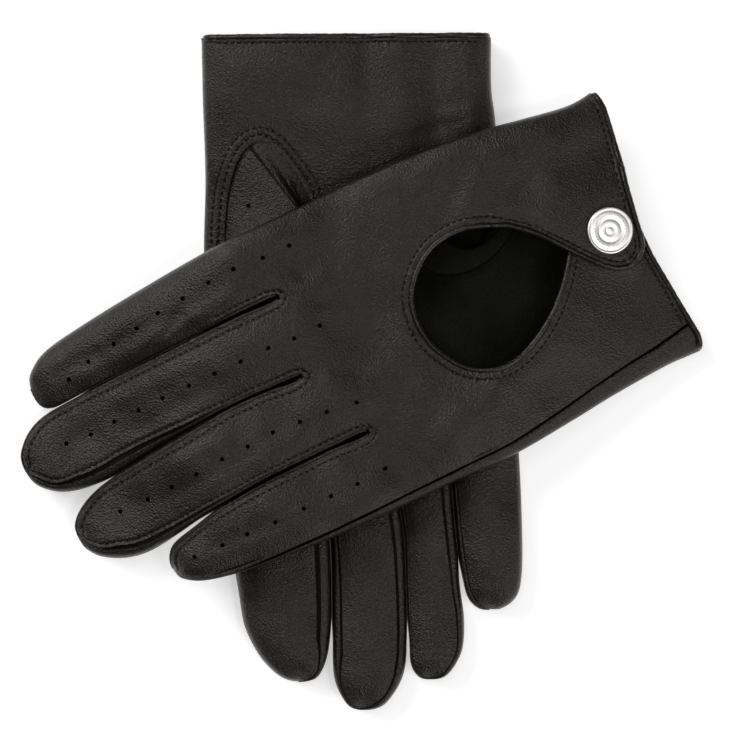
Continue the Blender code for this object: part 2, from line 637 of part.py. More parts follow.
def cuff_binding(glove, finish, collection):
    """The bound mouth: from the flap along the back, round the palm and back to the tab."""
    chain = []
    seam_x = along(glove.seam, 3.0) + BINDING_RADIUS
    fold_x = along(glove.fold, 3.0) - BINDING_RADIUS

    def stretch(cuff, start, end, side):
        count = round(abs(end - start) / 6.0)
        for i in range(count + 1):
            x = start + (end - start) * i / count
            y = along(cuff, x) + BINDING_RADIUS
            chain.append(glove.place(x, y, side * (glove.half(x, y + 3.0) - LEATHER / 2)))

    stretch(glove.cuff_back, 10.0, seam_x + 3.0, 1.0)
    chain.append(glove.place(seam_x, along(glove.cuff_palm, seam_x) + BINDING_RADIUS, 0.0))
    stretch(glove.cuff_palm, seam_x + 3.0, fold_x - 3.0, -1.0)
    chain.append(glove.place(fold_x, along(glove.cuff_palm, fold_x) + BINDING_RADIUS, 0.0))
    stretch(glove.cuff_back, fold_x - 3.0, TAB_HINGE_X + BINDING_RADIUS, 1.0)
    return tube(f"{glove.name}_cuff_binding", chain, finish, collection)


def pivot(name, spot, collection):
    made = bpy.data.objects.new(name, None)
    made.location = spot
    made.empty_display_size = 0.01
    collection.objects.link(made)
    bpy.context.view_layer.update()
    return made


def bend_pivot(glove, index):
    """Middle of a finger's bend, on its upper side, and the way its axis runs."""
    finger = glove.fingers[index]
    low, high = glove.sides(index, finger.bend)
    height = (FINGER_DEPTH / 2 + PIVOT_OVER) * (1.0 if glove.back_up else -1.0)
    a = glove.place(low, finger.bend, height)
    b = glove.place(high, finger.bend, height)
    return (a + b) / 2, (b - a).normalized()


def tab_pivot(glove):
    """Middle of the tab's bend line, over the highest of it, and the way its axis runs."""
    line = [glove.place(TAB_HINGE_X, y, glove.half(TAB_HINGE_X, y) + PIVOT_OVER) for y in range(2, 48, 3)]
    a, b = line[0], line[-1]
    out = Vector((0.0, 0.0, 1.0 if glove.back_up else -1.0))
    bulge = max((p - a.lerp(b, i / (len(line) - 1))).dot(out) for i, p in enumerate(line))
    return (a + b) / 2 + out * bulge, (b - a).normalized() * out.z


def build_glove(glove, finishes, collection):
    tab = pivot(f"{glove.name}_tab_pivot", tab_pivot(glove)[0], collection)
    back_panel(glove, finishes["leather"], collection)
    panel(glove, "palm_panel", palm_outline(glove), [thumb_hole()], -1.0, finishes["palm"], collection)
    thumb(glove, finishes["palm"], collection)
    snap_tab(glove, finishes["leather"], collection, tab)
    cuff_binding(glove, finishes["binding"], collection)
    keyhole_binding(glove, finishes["binding"], collection)
    tab_binding(glove, finishes["binding"], collection, tab)
    snap_parts(glove, finishes["nickel"], finishes["steel"], collection, tab)
    for index, finger in enumerate(glove.fingers):
        bend = pivot(f"{glove.name}_{finger.name}_pivot", bend_pivot(glove, index)[0], collection)
        fingertip(glove, index, finishes["leather"], collection, bend)
        for side in (1.0, -1.0):
            if (index == 0 and side > 0) or (index == 3 and side < 0):
                continue
            fourchette(glove, index, side, "base", finishes["side"], collection)
            fourchette(glove, index, side, "tip", finishes["side"], collection, bend)


def build():
    clear_scene()
    scene = bpy.context.scene
    gloves = bpy.data.collections.new("driving_gloves")
    cutters = bpy.data.collections.new("cutters")
    scene.collection.children.link(gloves)
    scene.collection.children.link(cutters)
    finishes = {
        "leather": material("black_leather", (0.018, 0.016, 0.015), 0.42),
        "palm": material("black_palm_leather", (0.020, 0.017, 0.016), 0.48),
        "side": material("fourchette_leather", (0.015, 0.013, 0.012), 0.5),
        "binding": material("binding_leather", (0.017, 0.015, 0.014), 0.38),
        "nickel": material("polished_nickel", (0.75, 0.74, 0.72), 0.14, 1.0),
        "steel": material("plated_steel", (0.5, 0.5, 0.5), 0.3, 1.0),
    }
    for glove in (LEFT, RIGHT):
        build_glove(glove, finishes, gloves)


build()
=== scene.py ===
import math

import bpy
import numpy as np
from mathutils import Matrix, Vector
from mathutils.geometry import delaunay_2d_cdt
from mathutils.kdtree import KDTree


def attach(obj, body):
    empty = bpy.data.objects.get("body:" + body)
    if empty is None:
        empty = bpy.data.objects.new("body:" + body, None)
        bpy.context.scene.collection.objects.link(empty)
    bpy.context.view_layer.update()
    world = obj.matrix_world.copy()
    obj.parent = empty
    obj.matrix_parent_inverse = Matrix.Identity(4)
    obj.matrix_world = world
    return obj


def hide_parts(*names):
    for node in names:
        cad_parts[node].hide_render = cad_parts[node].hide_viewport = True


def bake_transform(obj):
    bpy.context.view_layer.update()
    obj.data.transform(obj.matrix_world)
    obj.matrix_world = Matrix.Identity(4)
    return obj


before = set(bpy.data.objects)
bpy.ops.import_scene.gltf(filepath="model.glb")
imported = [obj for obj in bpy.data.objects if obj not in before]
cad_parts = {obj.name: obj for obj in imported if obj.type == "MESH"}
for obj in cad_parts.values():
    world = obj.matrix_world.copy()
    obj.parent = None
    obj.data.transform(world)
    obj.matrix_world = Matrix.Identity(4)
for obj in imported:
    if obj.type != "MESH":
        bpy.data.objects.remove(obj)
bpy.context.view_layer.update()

# The looks of a pair of crossed leather driving gloves. Each glove is drawn in its own flat frame, in
# millimetres: x towards the thumb, y towards the fingertips and w out of the back of the hand.
# Glove.place() carries such points to the table, in metres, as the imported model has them.

MM = 0.001
LEATHER = 0.95              # thickness of the hide
THUMB_LEATHER, STRIP_LEATHER = 0.7, 0.5     # and of the thumb's and the fourchettes'
GRAIN = 1.2                 # spacing of the points that a pattern piece is bent by
CUFF_DEPTH, HAND_DEPTH, FINGER_DEPTH = 10.5, 8.0, 11.0
CUFF_END, HAND_END, FINGER_START = 55.0, 95.0, 130.0
FOLD_ROUND, EDGE_ROUND = 1.35, 9.0
FINGER_ROUND = 9.5          # a finger's top falls towards its sides over this
FINGER_SIDE, TIP_SIDE = 0.52, 0.36      # what is left of its height there, along it and at its tip
BINDING_RADIUS = 1.0
TAB_HINGE = (20.4, 47.8)
TAB_FLAP_END = 12.0
TAB_BEND = (20.4, 13.0)     # the tab's hide bends between these x
TAB_BEND_MIDDLE = (24.0, 4.5)       # y and w of the middle of that bend
TAB_LIFT = 3.5
LIFT_FROM = 16.0            # left of this only the tab is lifted
LIFT_BEGINS, LIFT_FULL, LIFT_FADES = -31.0, -11.5, (31.0, 49.0)
SNAP = (3.0, 14.5)
CAP_DEPTH = 1.5
GAP = 0.3
TABLE_GAP = 0.6
SNAP_NEAR, SNAP_FAR = 12.0, 70.0
DRAPE_FOOT, DRAPE_RISE = 0.7, 15.9
DRAPE_LEFT, DRAPE_LEFT_RUN = -38.4, 62.0
DRAPE_RIGHT, DRAPE_RIGHT_RUN = 35.6, 72.0
DRAPE_EASE = 0.2
STITCH_PITCH = 2.2
PUCKER = 2 * math.pi / STITCH_PITCH
EDGE_ROWS = (1.15, 1.9)     # stitch rows of lapped finger seams, in from the edge, on a gap's two sides
FLAP_SQUEEZE = 0.12         # the keyhole's bound edge is this much narrower on the flap
ROLLED_UNDER = 143.0        # beyond this the index's seam has turned under its neighbour
BOUND_ROW = 2.7             # the stitch row of a bound edge
ARCH_ROWS = (1.9, 4.3)      # the two rows round the thumb
FORK_INSET = 1.2            # from a fork to the panel's edge round it
TIP_INSET = 0.5             # the middle and ring fingers' panels end this far short of the tip
TIP_BLEND = 7.0             # a panel's edge runs in to its tip over this length
BLEND_BEFORE, BLEND_AFTER = 9.0, 7.0    # a finger's hide bends over this much before and after its joint
CUT_BEFORE = 12.0           # and its own pieces start this much before its joint
NEAREST_BLOCK = 10          # segments that nearest() looks at together
FOLD_ROWS = (0.1, 0.32, 0.65, 1.1, 1.7, 2.5)      # rows of points over a fold, in from its outline
FOLD_STEP, FOLD_LEAST = 0.9, 0.08       # their step along it, and the least from point to point
SLIT_POINTS = 46

# The keyhole's edge, from the slit round to the flap, and the tab's edge, from there round to the cuff.
KEYHOLE = [(20.4, 47.8), (22.0, 52.0), (23.3, 58.0), (23.0, 65.0), (21.0, 70.5), (17.5, 75.5), (12.5, 80.0),
           (6.5, 82.6), (0.0, 83.2), (-6.0, 82.2), (-12.0, 79.5), (-17.5, 75.5), (-21.2, 70.5), (-23.0, 64.5),
           (-22.6, 58.5), (-20.5, 52.5), (-17.5, 47.0), (-13.5, 41.3), (-9.0, 36.5), (-4.0, 32.2), (1.5, 28.2),
           (6.5, 23.8), (10.5, 18.5), (12.0, 12.0)]
TAB_EDGE = [(20.4, 47.8), (19.3, 46.2), (16.5, 42.2), (12.5, 37.7), (8.0, 33.5), (2.5, 29.0), (-2.5, 25.0),
            (-7.0, 21.0), (-9.9, 17.3), (-11.2, 13.5), (-10.6, 9.8), (-8.4, 6.8), (-4.8, 5.0), (0.0, 4.2),
            (6.0, 3.35), (12.0, 2.4), (19.3, 0.85), (20.4, 0.74)]

# The edge of the opening in the palm, from the index side round its arch and back.
THUMB_EDGE = [(40.0, 66.0), (39.6, 57.0), (38.4, 48.0), (36.2, 40.5), (33.0, 35.2), (29.2, 32.8), (25.6, 33.6),
              (21.6, 37.2), (16.4, 43.8), (12.8, 50.0), (11.2, 57.0), (12.0, 65.0), (16.5, 71.5), (25.0, 74.2),
              (34.0, 72.6), (38.6, 69.4), (40.0, 66.0)]
THUMB_APEX = (29.2, 32.8)
STRIP_COLUMNS = 17          # points across a fourchette
STRIP_SWELL = 0.9           # a fourchette bulges out at most this much from the outline of its finger
FINGERS_APART = 0.04        # and stays this far from the line between two fingers
INTERLOCK = 0.30            # one neighbour bulges more above, the other below
STRIP_SQUARE = 0.7          # below 1 its section is squarer than half an ellipse
STRIP_GROOVE = 0.45         # a fourchette is drawn in beside its seams
STRIP_TUCK, STRIP_UNDER = 0.7, 0.75     # its edges lie this far inside the panels' edges, and below them
STRIP_EDGE = 0.125          # share of its width, at each side, that is tucked in
TIP_SWELL = 0.25            # how much it bulges where no finger is beside it


def smooth(low, high, value):
    t = np.clip((value - low) / (high - low), 0.0, 1.0)
    return t * t * (3.0 - 2.0 * t)


def eased_ramp(t, ease):
    t = np.clip(t, 0.0, 1.0)
    return np.where(t < ease, t * t / (2.0 * ease), t - ease / 2.0) / (1.0 - ease / 2.0)


def rise(distance, reach):
    """A quarter round: 0 at an edge and 1 from reach inwards."""
    t = 1.0 - np.clip(distance, 0.0, reach) / reach
    return np.sqrt(1.0 - t * t)


def bump(value, centre, width):
    return np.exp(-((value - centre) / width) ** 2)


def along(points, value):
    table = np.array(points)
    return np.interp(value, table[:, 0], table[:, 1])


def curve(points, step=1.0):
    """Points about step apart on a Catmull-Rom curve through the given ones."""
    spots = [np.array(p, float) for p in points]
    padded = [spots[0], *spots, spots[-1]]
    out = []
    for p, q, r, s in zip(padded, padded[1:], padded[2:], padded[3:]):
        count = max(1, int(round(np.linalg.norm(r - q) / step)))
        for i in range(count):
            t = i / count
            out.append(0.5 * (2 * q + (r - p) * t + (2 * p - 5 * q + 4 * r - s) * t * t
                              + (3 * q - p - 3 * r + s) * t ** 3))
    out.append(spots[-1])
    return np.array(out)


def run_along(chain):
    """Length along the chain at each of its points."""
    return np.concatenate(([0.0], np.cumsum(np.linalg.norm(np.diff(chain, axis=0), axis=1))))


def tangents(chain):
    way = np.gradient(chain, axis=0)
    return way / np.maximum(np.linalg.norm(way, axis=1), 1e-9)[:, None]


def offset(chain, distance):
    """The chain moved to the left of its way by a distance, or by one for each point."""
    way = tangents(chain)
    left = np.column_stack((-way[:, 1], way[:, 0]))
    return chain + left * np.broadcast_to(np.asarray(distance, float), len(chain))[:, None]


def respaced(chain, step):
    run = run_along(chain)
    count = max(1, int(round(run[-1] / step)))
    at = np.linspace(0.0, run[-1], count + 1)
    return np.column_stack([np.interp(at, run, chain[:, k]) for k in range(chain.shape[1])])


def nearest(chain, x, y, reach=10.0):
    """Distance from each point to the chain, up to reach, and the length along the chain there."""
    best = np.full(len(x), reach * reach)
    where = np.zeros(len(x))
    run = run_along(chain)
    for first in range(0, len(chain) - 1, NEAREST_BLOCK):
        part = chain[first:first + NEAREST_BLOCK + 1]
        low, high = part.min(axis=0) - reach, part.max(axis=0) + reach
        near = np.nonzero((x > low[0]) & (x < high[0]) & (y > low[1]) & (y < high[1]))[0]
        if not len(near):
            continue
        px, py, least, spot = x[near], y[near], best[near], where[near]
        for k in range(len(part) - 1):
            (ax, ay), (bx, by) = part[k], part[k + 1]
            dx, dy = bx - ax, by - ay
            length = max(dx * dx + dy * dy, 1e-12)
            t = np.clip(((px - ax) * dx + (py - ay) * dy) / length, 0.0, 1.0)
            away = (px - ax - t * dx) ** 2 + (py - ay - t * dy) ** 2
            closer = away < least
            least = np.where(closer, away, least)
            start, end = run[first + k], run[first + k + 1]
            spot = np.where(closer, start + t * (end - start), spot)
        best[near], where[near] = least, spot
    return np.sqrt(best), where


def waves(x, y, length, seed, count=14):
    """Soft random hills and hollows of about this length, between -1 and 1 or so."""
    random = np.random.default_rng(seed)
    total = np.zeros(np.shape(x))
    for _ in range(count):
        turn = random.uniform(0.0, 2 * math.pi)
        k = 2 * math.pi / (length * random.uniform(0.7, 1.5))
        total += np.sin(k * (x * math.cos(turn) + y * math.sin(turn)) + random.uniform(0.0, 2 * math.pi))
    return total / math.sqrt(count)


def lift_of_tab(x, y):
    """The tab's side of the slit climbs over the flap, from nothing at the fold and the keyhole's end."""
    return TAB_LIFT * smooth(LIFT_BEGINS, LIFT_FULL, -x) * (1.0 - smooth(*LIFT_FADES, y))


def squeezed(chain, run):
    """The bound edge of the keyhole is narrower on the flap, at the end of the chain."""
    return 1.0 - FLAP_SQUEEZE * (1.0 - smooth(28.0, 58.0, run_along(chain)[-1] - run))


class Glove:
    """One glove: its outline and seams in its own frame, and how it lies on the table.

    fold and seam run from the cuff to the tips of the index and little finger. sides holds, for each
    gap between fingers, the two finger sides that meet at its fork, each from the fork to a tip.
    insets say how far in from those outlines the back's and the palm's panels end.
    """

    def __init__(self, name, origin, angle, back_up, fold, seam, sides, bends, cuffs, insets, seed):
        self.name, self.origin, self.back_up, self.bends, self.seed = name, origin, back_up, bends, seed
        self.fold, self.seam = curve(fold), curve(seam)
        self.sides = [(curve(low), curve(high)) for low, high in sides]
        self.cuffs, self.insets = cuffs, insets
        self.forks = [tuple(low[0]) for low, _ in self.sides]
        self.keyhole, self.tab_edge = curve(KEYHOLE), curve(TAB_EDGE)
        self.key_line = np.vstack((self.tab_edge[5:0:-1], self.keyhole))
        self.tab_line = np.vstack((self.keyhole[8:0:-1], self.tab_edge))
        turn = math.radians(angle)
        self.ey = (math.cos(turn), math.sin(turn))
        self.ex = (self.ey[1], -self.ey[0])
        self.gap_lines = [self.middle_line(low, high) for low, high in self.sides]

    def middle_line(self, low, high):
        """The line between two neighbouring fingers, as (y, x)."""
        ys = np.arange(low[0][1], min(low[-1][1], high[-1][1]) - 8.0, 4.0)
        x_low = np.interp(ys, low[:, 1], low[:, 0])
        x_high = np.interp(ys, high[:, 1], high[:, 0])
        return np.column_stack((ys, (x_low + x_high) / 2))

    def depth(self, y):
        gape = (CUFF_DEPTH - HAND_DEPTH) * (1.0 - smooth(0.0, CUFF_END, y))
        return HAND_DEPTH + gape + (FINGER_DEPTH - HAND_DEPTH) * smooth(HAND_END, FINGER_START, y)

    def place(self, x, y, w):
        """Points of the glove's own frame on the table, in metres."""
        x, y, w = np.broadcast_arrays(np.asarray(x, float), np.asarray(y, float), np.asarray(w, float))
        px = self.origin[0] + x * self.ex[0] + y * self.ey[0]
        py = self.origin[1] + x * self.ex[1] + y * self.ey[1]
        if self.back_up:
            over = smooth(DRAPE_LEFT - DRAPE_LEFT_RUN, DRAPE_LEFT, px)
            over = over * (1.0 - eased_ramp((px - DRAPE_RIGHT) / DRAPE_RIGHT_RUN, DRAPE_EASE))
            z = DRAPE_FOOT + DRAPE_RISE * over + self.depth(y) / 2 + w
        else:
            away = np.hypot(x - SNAP[0], y - SNAP[1])
            lift = (TAB_LIFT + GAP + CAP_DEPTH - TABLE_GAP) * (1.0 - smooth(SNAP_NEAR, SNAP_FAR, away))
            z = TABLE_GAP + self.depth(y) / 2 + lift - w
        return np.column_stack((px.ravel(), py.ravel(), z.ravel())) * MM

    def finger_of(self, x, y):
        """0 for the index to 3 for the little finger."""
        which = np.zeros(np.shape(x), int)
        for line in self.gap_lines:
            which += x < np.interp(y, line[:, 0], line[:, 1])
        return which

    def tips(self):
        return np.array([self.fold[-1][1], self.sides[0][1][-1][1], self.sides[1][1][-1][1],
                         self.seam[-1][1]])

    def body(self, x, y):
        """Half height of the plain shape: a flat hand that parts into four round fingers."""
        top = self.depth(y) / 2
        edge = np.minimum(nearest(self.fold, x, y)[0], nearest(self.seam, x, y)[0])
        share = FOLD_ROUND / top
        height = top * (share * rise(edge, FOLD_ROUND) + (1.0 - share) * rise(edge, EDGE_ROUND))
        tip = self.tips()[self.finger_of(x, y)]
        side = FINGER_SIDE + (TIP_SIDE - FINGER_SIDE) * smooth(-26.0, -4.0, y - tip)
        for (_, fork_y), (low, high) in zip(self.forks, self.sides):
            reach = np.minimum(nearest(low, x, y)[0], nearest(high, x, y)[0])
            begun = smooth(fork_y - 12.0, fork_y + 8.0, y)
            height = height * (1.0 - (1.0 - side) * begun * (1.0 - rise(reach, FINGER_ROUND)))
        return height

    def relief(self, side, x, y, tab=False):
        """What the hide adds to the plain shape: lapped and bound edges, puckers, folds and dents."""
        add = np.zeros(np.shape(x))
        if side > 0:
            for chain in self.back_rows:
                away, run = nearest(chain, x, y, 3.0)
                add += 0.24 * bump(away, 1.0, 0.45)
                add -= (0.36 + 0.12 * np.cos(PUCKER * run)) * bump(away, 0.0, 0.36)
            away, run = nearest(self.tab_line if tab else self.key_line, x, y)
            add += self.bound(away / (1.0 if tab else squeezed(self.key_line, run)), run)
            if not tab:
                away, run = nearest(self.cuff_line(1), x, y)
                add += self.bound(away, run)
        else:
            for chain in self.palm_seams:
                add -= 0.22 * bump(nearest(chain, x, y, 3.0)[0], 0.9, 0.4)
            away, run = nearest(self.cuff_line(-1), x, y)
            add += self.bound(away, run)
            away, run = nearest(self.arch, x, y)
            add += 0.28 * bump(away, 0.8, 0.7) + 0.30 * bump(away, 3.1, 0.75)
            for row in ARCH_ROWS:
                add -= (0.22 + 0.16 * np.cos(PUCKER * run)) * bump(away, row, 0.5)
        calm = smooth(7.0, 20.0, np.hypot(x - SNAP[0], y - SNAP[1])) if side > 0 else 1.0
        add += calm * (0.75 * waves(x, y, 38.0, self.seed) + 0.17 * waves(x, y, 16.0, self.seed + 1)
                       + 0.03 * waves(x, y, 6.5, self.seed + 2))
        for points, width, depth in self.dents.get(side, ()):
            chain = np.array(points, float)
            away, run = nearest(chain, x, y, 3.0 * width)
            ends = run / run_along(chain)[-1]
            add += depth * bump(away, 0.0, width) * np.sqrt(np.clip(4.0 * ends * (1.0 - ends), 0.0, 1.0))
        return add

    def bound(self, away, run):
        """A bound edge: a groove inside its roll, a padded ridge and a puckered stitch row."""
        return ((0.32 + 0.14 * np.cos(PUCKER * run)) * bump(away, 2.0, 0.5) - 0.24 * bump(away, 1.3, 0.35)
                - (0.20 + 0.14 * np.cos(PUCKER * run)) * bump(away, BOUND_ROW + 0.2, 0.42))

    def outside(self, side, x, y, tab=False):
        """Height of the hide's outside, w, on the back (side 1) or the palm (side -1)."""
        body = self.body(x, y)
        firm = smooth(0.0, 2.2, body)
        lift = np.where(tab | (x > LIFT_FROM), lift_of_tab(x, y), 0.0) if side > 0 else 0.0
        return side * (body + firm * self.relief(side, x, y, tab) + lift)

    def cuff_line(self, side):
        """The mouth's edge on one side of the glove, from the side seam to the fold."""
        return respaced(np.array(self.cuffs[side], float), 2.0)


def inset_of(table, chain):
    return np.interp(chain[:, 1], [y for y, _ in table], [d for _, d in table])


def panel_side(chain, table, inward, tip_inset=0.0):
    """The panel's edge beside an outline that ends at a tip. inward is 1 to its left, -1 to its right."""
    edge = offset(chain, inward * inset_of(table, chain))
    tip = chain[-1] - (0.0, tip_inset)
    run = run_along(chain)
    near = smooth(run[-1] - TIP_BLEND, run[-1], run)[:, None]
    return edge + (tip - edge[-1]) * near


def quarter_turn(fork, sign, count=4):
    """The panel's edge round half a fork, from its bottom to one side."""
    angles = np.linspace(0.0, math.pi / 2, count + 1)[:-1]
    return np.column_stack((fork[0] + sign * FORK_INSET * np.sin(angles),
                            fork[1] - FORK_INSET * np.cos(angles)))


def finger_side(glove, panel, gap, which):
    """(outline, panel edge) of a finger side from its fork's bottom to the tip, point for point."""
    outline = glove.sides[gap][which]
    inward = 1 if which == 1 else -1
    table = [(-50.0, FORK_INSET), (glove.forks[gap][1] + 1.0, FORK_INSET), *glove.insets[panel][gap][which]]
    open_tip = (gap, which) not in ((0, 0), (2, 1))
    edge = panel_side(outline, table, inward, TIP_INSET if open_tip else 0.0)
    turn = quarter_turn(outline[0], -inward)
    still = np.repeat(outline[:1], len(turn), axis=0)
    return np.vstack((still, outline)), np.vstack((turn, edge))


# Insets of the side that faces down.
PLAIN_INSETS = [([(135, 2.0)], [(135, 2.0)]), ([(135, 2.0)], [(135, 2.0)]), ([(125, 2.0)], [(125, 2.0)])]

LEFT = Glove(
    name="left", origin=(94.73, 49.21), angle=205.0, back_up=True,
    fold=[(46.6, -3), (45.2, 5), (45.4, 12), (47.5, 25), (50, 40), (52, 60), (52.5, 85), (52.2, 110), (52, 130),
          (51.2, 143), (50, 157), (48.5, 172), (47, 184), (45.6, 193), (43.8, 199), (41, 203.2), (38.6, 205.3),
          (35.5, 206.2)],
    seam=[(-45.6, -3), (-45.3, 8), (-45.2, 16), (-46.6, 35), (-48.3, 50), (-50.2, 71), (-50.1, 90), (-50, 130),
          (-49, 150), (-48, 163), (-46.5, 174), (-44.4, 182), (-41.5, 186.8), (-39.4, 188.2), (-37, 188.6)],
    sides=[([(28.5, 121), (28.9, 125), (28.9, 140), (28.5, 160), (27.8, 185), (27.0, 198), (27.2, 202.6),
             (28.7, 205.1), (31.6, 206.1), (35.5, 206.2)],
            [(28.5, 121), (28, 125), (27.7, 140), (27.3, 160), (26.8, 182), (26.3, 198), (25.3, 207),
             (22.6, 213), (18.5, 217.3), (15.6, 218.7), (12.5, 219)]),
           ([(2.1, 125), (2.6, 129), (3.2, 140), (3.0, 152), (1.8, 165), (0.4, 180), (-1.3, 195), (-1.0, 204),
             (1, 211), (4.5, 215.8), (8, 218.2), (12.5, 219)],
            [(2.1, 125), (1.5, 129), (1.9, 140), (1.8, 152), (0.5, 165), (-0.9, 180), (-2.7, 196),
             (-4.2, 202.5), (-7, 208), (-10.0, 211.2), (-12.2, 212.2), (-14.5, 212.4)]),
           ([(-23.5, 113), (-22.9, 117), (-22.9, 130), (-23.3, 150), (-24.9, 168), (-27.4, 183), (-28.5, 192),
             (-27.9, 198.5), (-26, 204), (-23, 208.7), (-19.4, 211.5), (-17.0, 212.2), (-14.5, 212.4)],
            [(-23.5, 113), (-24.1, 117), (-24.2, 130), (-24.7, 150), (-26.3, 168), (-28.5, 180), (-30.2, 185.3),
             (-32.6, 187.6), (-34.8, 188.5), (-37, 188.6)])],
    bends=(156.0, 162.0, 156.0, 149.0),
    cuffs={1: [(-46, 2.5), (-41, 0.8), (-30, 2), (-10, 4), (0, 4), (10, 2.5), (20, 0.5), (30, -1), (40, -2.4),
               (47, -1.2)],
           -1: [(-46, 2.5), (-41, 1.2), (-30, 2.4), (-10, 4.4), (0, 4.4), (10, 2.9), (20, 0.9), (30, -0.6),
                (40, -2), (47, -1.2)]},
    insets={1: [([(125, 1.5), (138, 1.3), (152, 0.4), (205, 0.3)], [(135, 0.5), (200, 0.5)]),
                ([(135, 0.7), (150, 0.9), (165, 2.2), (180, 3.8), (190, 4.6), (205, 4.4), (214, 2.4)],
                 [(135, 0.5), (200, 0.5)]),
                ([(125, 1.0), (160, 1.1), (175, 2.2), (190, 3.8), (203, 4.2), (210, 2.4)],
                 [(125, 0.5), (185, 0.5)])],
            -1: PLAIN_INSETS,
            "wrap": [(4, 10.0), (15, 7.5), (28, 6.7), (50, 5.3), (70, 4.2), (90, 3.6), (110, 3.2), (130, 2.8),
                     (150, 2.0), (170, 0.9), (183, 0.5)]},
    seed=11)

RIGHT = Glove(
    name="right", origin=(-4.06, 107.71), angle=270.0, back_up=False,
    fold=[(47.5, -3), (47.2, 10), (47, 20), (46.2, 45), (46.7, 69), (46.2, 100), (43, 130), (40.2, 150),
          (37, 170), (35.3, 180), (33.6, 190), (30.6, 197), (27, 202.4), (22.6, 206.6), (19.0, 208.4),
          (15.8, 208.8)],
    seam=[(-47, -3), (-47, 15), (-48.5, 28), (-52, 70), (-54.5, 110), (-56, 134), (-56.8, 150), (-57.2, 168),
          (-56.4, 178), (-54.2, 182.4), (-50.8, 184.8), (-48.6, 185.3), (-46.5, 185.2)],
    sides=[([(19, 121), (17.6, 127), (14.4, 135), (10.1, 145), (6.8, 158), (5.8, 172), (5.7, 192), (6.8, 201),
             (9.4, 206.8), (12.4, 208.4), (15.8, 208.8)],
            [(19, 121), (16.2, 127), (13.1, 135), (8.9, 145), (5.6, 158), (4.5, 172), (4.4, 190), (4.4, 203),
             (3.4, 209.6), (0.8, 214.8), (-1.6, 217.2), (-4.5, 217.9)]),
           ([(-6.5, 125), (-7.5, 129), (-10, 135), (-13.3, 143), (-16.4, 152), (-18, 164), (-18.6, 180),
             (-19.2, 195), (-18.7, 204), (-16.6, 210), (-12.6, 215.6), (-8.8, 217.6), (-4.5, 217.9)],
            [(-6.5, 125), (-8.4, 129), (-11.2, 135), (-14.7, 143), (-17.7, 152), (-19.3, 164), (-19.8, 180),
             (-20.5, 195), (-20.9, 202.6), (-22.6, 206.2), (-24.8, 207.7), (-27.4, 207.9)]),
           ([(-31, 113), (-31.2, 118), (-32.2, 130), (-33.6, 148), (-35, 163), (-36.6, 178), (-37.9, 188),
             (-37.6, 197), (-35.6, 202.4), (-32.6, 206.4), (-30.0, 207.7), (-27.4, 207.9)],
            [(-31, 113), (-31.9, 118), (-33.2, 130), (-34.8, 148), (-36.2, 163), (-37.9, 175), (-39.4, 181),
             (-41.8, 184.0), (-44.0, 185.1), (-46.5, 185.2)])],
    bends=(177.0, 166.5, 156.5, 149.5),
    cuffs={1: [(-47, -2.2), (-30, -1), (-10, 2), (0, 3), (10, 2.5), (20, 0.5), (30, -1), (40, -2),
               (47.5, -2.2)],
           -1: [(-47, -2.6), (47.5, -1.9)]},
    insets={-1: [([(135, 2.4), (165, 4.6), (195, 4.2), (206, 1.2)],
                  [(135, 1.4), (165, 2.4), (200, 3.2), (214, 1)]),
                 ([(135, 1.5), (155, 3.4), (180, 2.6), (205, 3.2), (214, 2.0)], [(135, 1.0), (200, 0.8)]),
                 ([(125, 1.6), (150, 3.0), (190, 2.4), (203, 1.4)], [(125, 1.4), (178, 1.8)])],
            1: PLAIN_INSETS,
            "wrap": [(4, 8.0), (28, 6.0), (50, 5.0), (90, 3.8), (130, 2.8), (150, 2.2), (170, 1.0),
                     (181, 0.5)]},
    seed=47)

# Folds and dents of each side: the two ends of one, its width and its height.
LEFT.dents = {
    1: [([(30, 165), (37, 150)], 1.6, -0.55), ([(33, 168), (41, 152)], 2.2, 0.35),
        ([(24, 114), (20, 104)], 3.0, -0.5), ([(31, 112), (36, 100)], 3.5, -0.5),
        ([(-2, 116), (-6, 100)], 3.5, -0.45), ([(28, 66), (46, 40)], 4.0, -0.6),
        ([(34, 74), (51, 52)], 4.0, 0.45), ([(24, 40), (38, 18)], 3.5, -0.45),
        ([(-8, 10), (-41, 100)], 8.0, 1.5), ([(-24, 88), (-34, 100)], 4.5, -0.4),
        ([(14, 205), (14, 190)], 5.0, -0.55), ([(-13, 200), (-13, 186)], 5.0, -0.5),
        ([(35, 198), (38, 180)], 4.5, -0.5), ([(9, 186), (11.5, 138)], 3.0, -0.55),
        ([(20.5, 192), (21, 148)], 3.5, 0.5), ([(36, 200), (38, 144)], 2.6, -0.5),
        ([(31.5, 172), (35.5, 126)], 3.2, 0.6), ([(-16, 186), (-13, 140)], 3.0, -0.5),
        ([(-6, 192), (-5, 150)], 3.2, 0.45), ([(-36, 178), (-37, 150)], 2.6, -0.4)],
    -1: [([(-30, 60), (10, 85)], 3.0, -0.5), ([(-35, 90), (15, 110)], 3.0, -0.5)]}
RIGHT.dents = {
    -1: [([(-44, 18), (-20, 24)], 2.2, -0.35), ([(-40, 26), (-12, 33)], 2.0, -0.35),
         ([(-16, -20), (-19, 42)], 4.5, 0.9), ([(-28, -20), (-30, 42)], 4.0, -1.0),
         ([(-5, -20), (-7, 42)], 4.5, -0.8), ([(-39, -20), (-41, 42)], 4.5, 0.7),
         ([(-30, 60), (10, 85)], 3.0, -0.5), ([(-46, 175), (-50, 150)], 4.0, 0.4),
         ([(-28, 198), (-26, 165)], 4.0, 0.3), ([(-8, 208), (-7, 170)], 4.0, 0.3),
         ([(20, 200), (22, 170)], 4.5, 0.3)],
    1: [([(28, 66), (46, 40)], 4.0, -0.6), ([(-30, 88), (-44, 64)], 6.0, 0.5)]}

